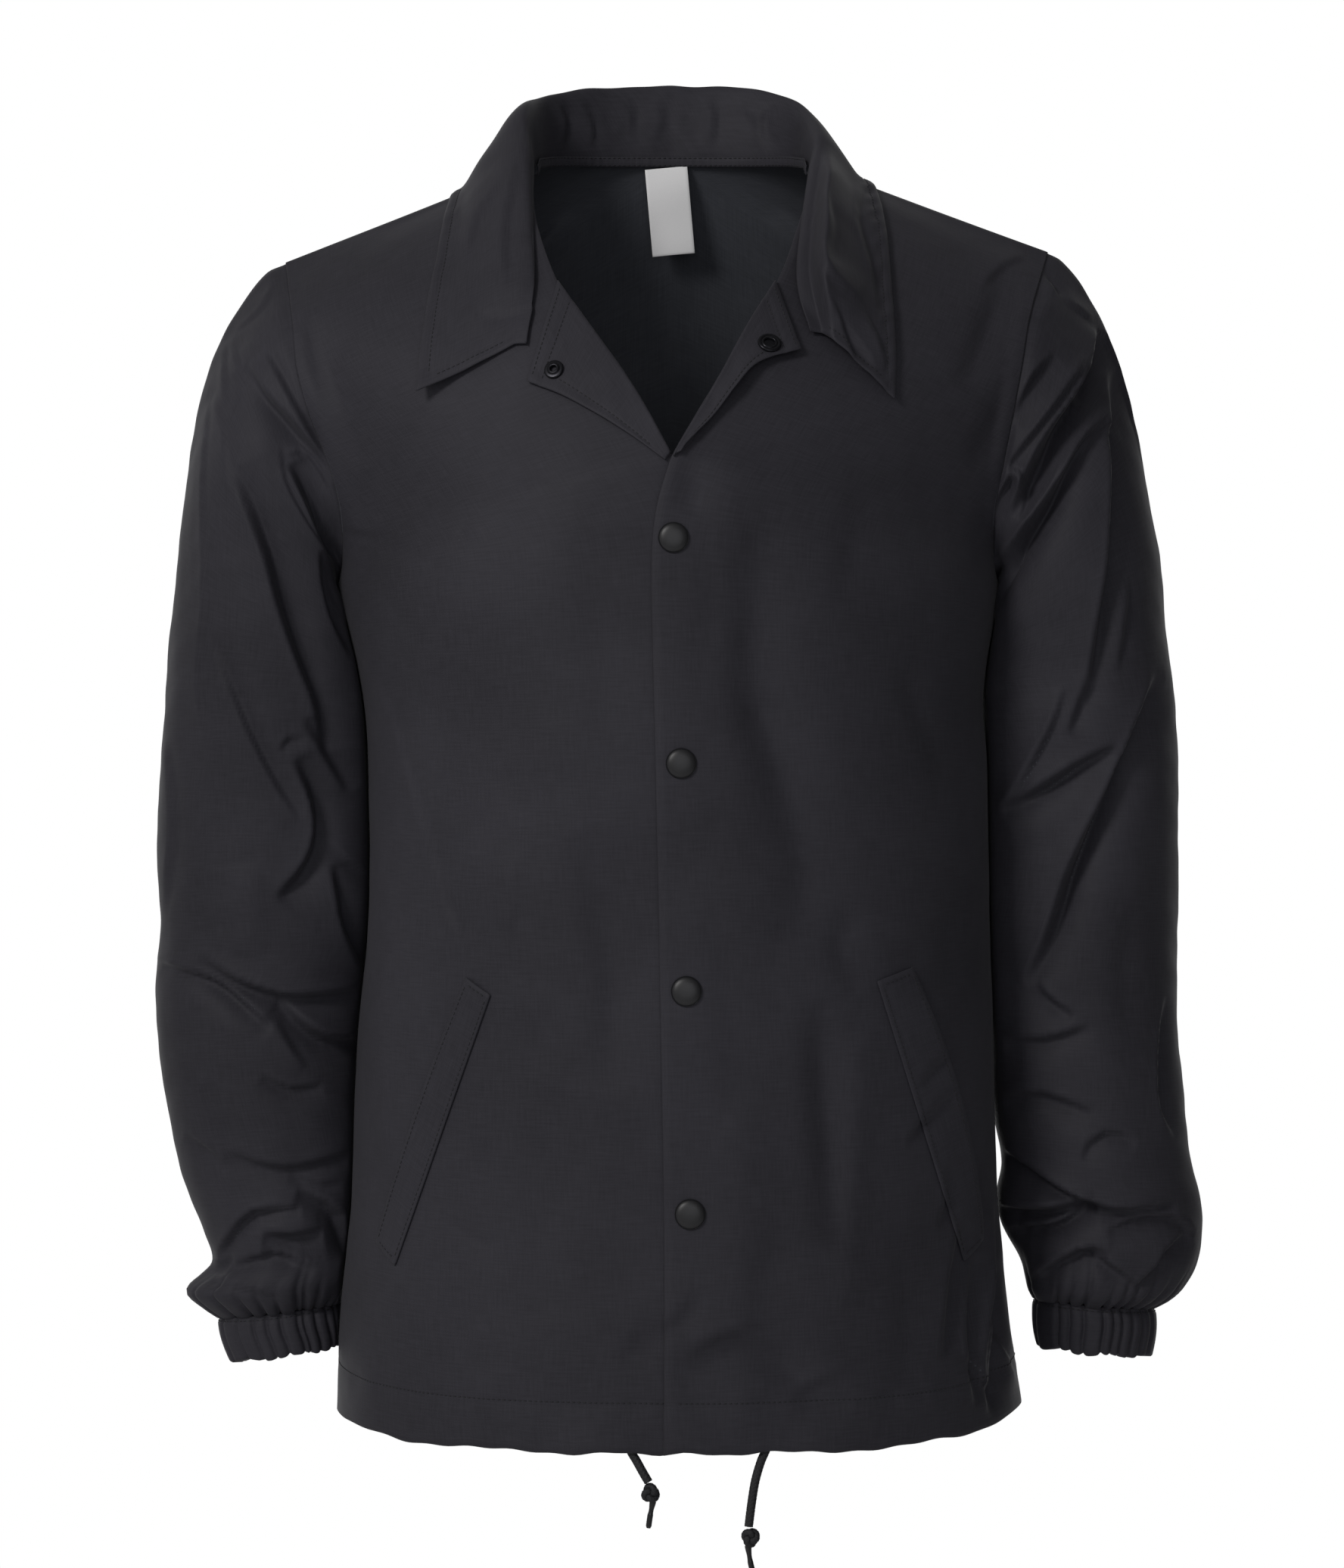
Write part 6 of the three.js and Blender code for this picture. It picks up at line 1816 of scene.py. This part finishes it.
def hem_row(side, face):
    """The row of a panel that lies 25 mm above the hem's edge."""
    key = "front" if face < 0 else "back"
    height = hem_height(side, face, GRIDS[key, side])[:, 5]
    return grid_line(key, side, row=int(np.abs(height - HEM_DEPTH).argmin()), span=slice(1, -1), face=face)


hem_lines = [hem_row(side, face) for side in (RIGHT, LEFT) for face in (-1, 1)]
stitches("stitches_hem", hem_lines)

lapel_lines = []
bound_row = int(FACING_ROWS * 0.905)
for side in (RIGHT, LEFT):
    lapel_lines.append(grid_line("facing", side, column=FACING_COLUMNS, span=slice(5, bound_row)))
    for row in (bound_row, FACING_ROWS - 2):
        lapel_lines.append(grid_line("facing", side, row=row, span=slice(5, FACING_COLUMNS + 4)))
stitches("stitches_lapels", lapel_lines)

welt_lines = []
for side in (RIGHT, LEFT):
    for column in (1, WELT_COLUMNS - 2):
        welt_lines.append(grid_line("welt", side, column=column, span=slice(1, -1)))
    for row in (1, WELT_ROWS - 2):
        welt_lines.append(grid_line("welt", side, row=row, span=slice(1, -1)))
stitches("stitches_welts", welt_lines)

# %% Stitches of the collar, tape and cuffs
def collar_stitch_line():
    """Round the leaf's free edges, 6 mm in: down one end, along the edge, up the other end."""
    grid = GRIDS["collar", 0]
    points, faces = SHEETS["collar", 0]
    normals = point_normals(points, faces).reshape(grid.shape)
    to_edge = rest_of_way(grid[STAND_ROWS:])
    line, ways = [], []
    for column in range(3, grid.shape[1] - 3):
        row = STAND_ROWS + int(np.abs(to_edge[:, column] - RIM_IN).argmin())
        line.append(grid[row, column])
        ways.append(normals[row, column])
    lines = [(np.array(line), np.array(ways))]
    for step in (1, -1):
        end = grid[:, ::step]
        across = np.linalg.norm(np.diff(end, axis=1), axis=-1).cumsum(axis=1)
        rows = range(STAND_ROWS + 6, grid.shape[0] - 6)
        at = [int(np.abs(across[row] - RIM_IN).argmin()) + 1 for row in rows]
        lines.append((np.array([end[row, k] for row, k in zip(rows, at)]),
                      np.array([normals[:, ::step][row, k] for row, k in zip(rows, at)])))
    return lines


stitches("stitches_collar", collar_stitch_line())
stitches("stitches_tape", [grid_line("tape", 0, row=1), grid_line("tape", 0, row=7)])
cuff_lines = []
for side in (RIGHT, LEFT):
    grid = GRIDS["cuff", side]
    centre = grid.mean(axis=1, keepdims=True)
    away = unit((grid - centre) * (1, 1, 0))
    cuff_lines.append((grid[4], away[4]))
stitches("stitches_cuffs", cuff_lines)

# %% [markdown]
# A snap cap is stamped: a low matt dome with a thin rim. The lapels show the socket and the
# post of the top snap from their working side. Each is a profile turned round its axis, then
# set square on the cloth under it.

# %% Snaps
CAP_SPOTS = [(0.8, -223), (4.9, -344), (7.7, -466), (9.7, -585)]
CAP_PROFILE = [(0, 0), (7.6, 0), (8.15, 0.25), (8.25, 0.7), (8.05, 1.05), (7.85, 0.95), (7.7, 1.3),
               (7.2, 1.85), (6.2, 2.35), (4.6, 2.75), (2.4, 2.95), (0, 3)]
SOCKET_PROFILE = [(0, 0), (6, 0), (6.4, 0.2), (6.5, 0.6), (6.3, 1.2), (5.8, 1.55), (5.0, 1.6), (4.6, 1.2),
                  (4.3, 1.25), (4.1, 1.6), (3.3, 1.6), (3.0, 1.2), (2.8, 0.4), (0, 0.35)]
POST_PROFILE = [(1.7, 0), (5.1, 0), (5.4, 0.2), (5.5, 0.6), (5.3, 1.1), (4.8, 1.35), (3.9, 1.3), (3.4, 1.4),
                (3.1, 2.0), (2.6, 2.25), (2.0, 2.2), (1.7, 1.8), (1.6, 0.6), (1.7, 0)]
SOCKET_SPOT = (53, -115.5)
POST_SPOT = (-64, -130)
SEAT_REACH = 5.0
CAP_LIFT = 0.2
LAPEL_SNAP_LIFT = 0.15


def turned(profile, sides=56):
    """A profile of radius and height turned round the Z axis."""
    angles = np.linspace(0, 2 * math.pi, sides, endpoint=False)
    points = [(r * math.cos(a), r * math.sin(a), h) for r, h in profile for a in angles]
    return np.array(points), grid_faces(len(profile), sides, wraps=True)


def seat(name, profile, view, spot, lift, material, node):
    """A turned part set square on the cloth at a place in front view."""
    points, faces = turned(profile)
    x, z = spot
    across = np.array([-SEAT_REACH, SEAT_REACH, 0, 0, 0])
    upwards = np.array([0, 0, -SEAT_REACH, SEAT_REACH, 0])
    ring = laid(view, x + across, z + upwards, 0)
    normal = unit(np.cross(ring[1] - ring[0], ring[3] - ring[2]))
    normal = normal if normal[1] < 0 else -normal
    turn = Vector((0, 0, 1)).rotation_difference(Vector(normal)).to_matrix()
    points = points @ np.array(turn).T + ring[4] + normal * lift
    piece = add_piece(name, points, faces, material)
    return set_in_place(piece, "snap", node)


for number, spot in enumerate(CAP_SPOTS, start=1):
    seat(f"snap_cap_{number}_painted", CAP_PROFILE, VIEWS[LEFT], spot, CAP_LIFT, PAINTED_BRASS,
         f"snap_cap_{number}")
LAPEL_VIEWS = {side: front_view(*SHEETS["facing", side]) for side in (RIGHT, LEFT)}
seat("snap_socket_blackened", SOCKET_PROFILE, LAPEL_VIEWS[LEFT], SOCKET_SPOT, LAPEL_SNAP_LIFT,
     BARE_RIM, "snap_socket")
seat("snap_post_blackened", POST_PROFILE, LAPEL_VIEWS[RIGHT], POST_SPOT, LAPEL_SNAP_LIFT,
     BARE_RIM, "snap_post")

# %% [markdown]

# %% [markdown]
# The studio: a pale floor as far below as a standing wearer's feet, and large soft lights. The
# surround is bright behind the jacket, which gives the white ground, and dim elsewhere, most
# on the right of the picture. The key light stands high on the left, so folds are lit there
# and fall off to the right.

# %% Studio
FLOOR_LEVEL = -1.5
ROOM_LIGHT = (0.4, 0.12)
BACKDROP = (0.6, 0.9)


def add_light(name, place, aim, size, power, colour):
    """A square soft light that looks at a point."""
    data = bpy.data.lights.new(name, "AREA")
    data.shape = "SQUARE"
    data.size = size
    data.energy = power
    data.color = linear(colour)[:3]
    light = bpy.data.objects.new(name, data)
    light.location = place
    light.rotation_euler = (Vector(aim) - Vector(place)).to_track_quat("-Z", "Y").to_euler()
    bpy.context.scene.collection.objects.link(light)


floor_points = [(-2500, -2500, 0), (2500, -2500, 0), (2500, 2500, 0), (-2500, 2500, 0)]
floor = add_piece("floor", np.array(floor_points, float) + (0, 0, FLOOR_LEVEL / MM), [[0, 1, 2, 3]],
                  plain_finish("floor_paint_matt", "#e6e6e6", "#eeeeee", 0.8, 6, 0.05))
add_light("key_light", (-1.72, -2.32, 1.2), (0, 0, -0.3), 0.8, 38, "#fffdfb")
add_light("fill_light", (0.2, -3.0, 0.0), (0, 0, -0.35), 1.4, 9, "#f8f9ff")
world = bpy.data.worlds.new("studio")
world.use_nodes = True
way = add_node(world, "ShaderNodeTexCoord").outputs["Generated"]
part = add_node(world, "ShaderNodeSeparateXYZ", links={"Vector": way})
room = add_node(world, "ShaderNodeMapRange",
                {"From Min": -1, "From Max": 1, "To Min": ROOM_LIGHT[0], "To Max": ROOM_LIGHT[1]},
                {"Value": part.outputs["X"]})
bright = add_node(world, "ShaderNodeMapRange",
                  {"From Min": BACKDROP[0], "From Max": BACKDROP[1], "To Max": 1},
                  {"Value": part.outputs["Y"], "To Min": room.outputs[0]})
surround = world.node_tree.nodes["Background"]
world.node_tree.links.new(bright.outputs[0], surround.inputs["Strength"])
surround.inputs["Color"].default_value = (1, 1, 1, 1)
bpy.context.scene.world = world
bpy.context.scene.view_settings.view_transform = "Standard"
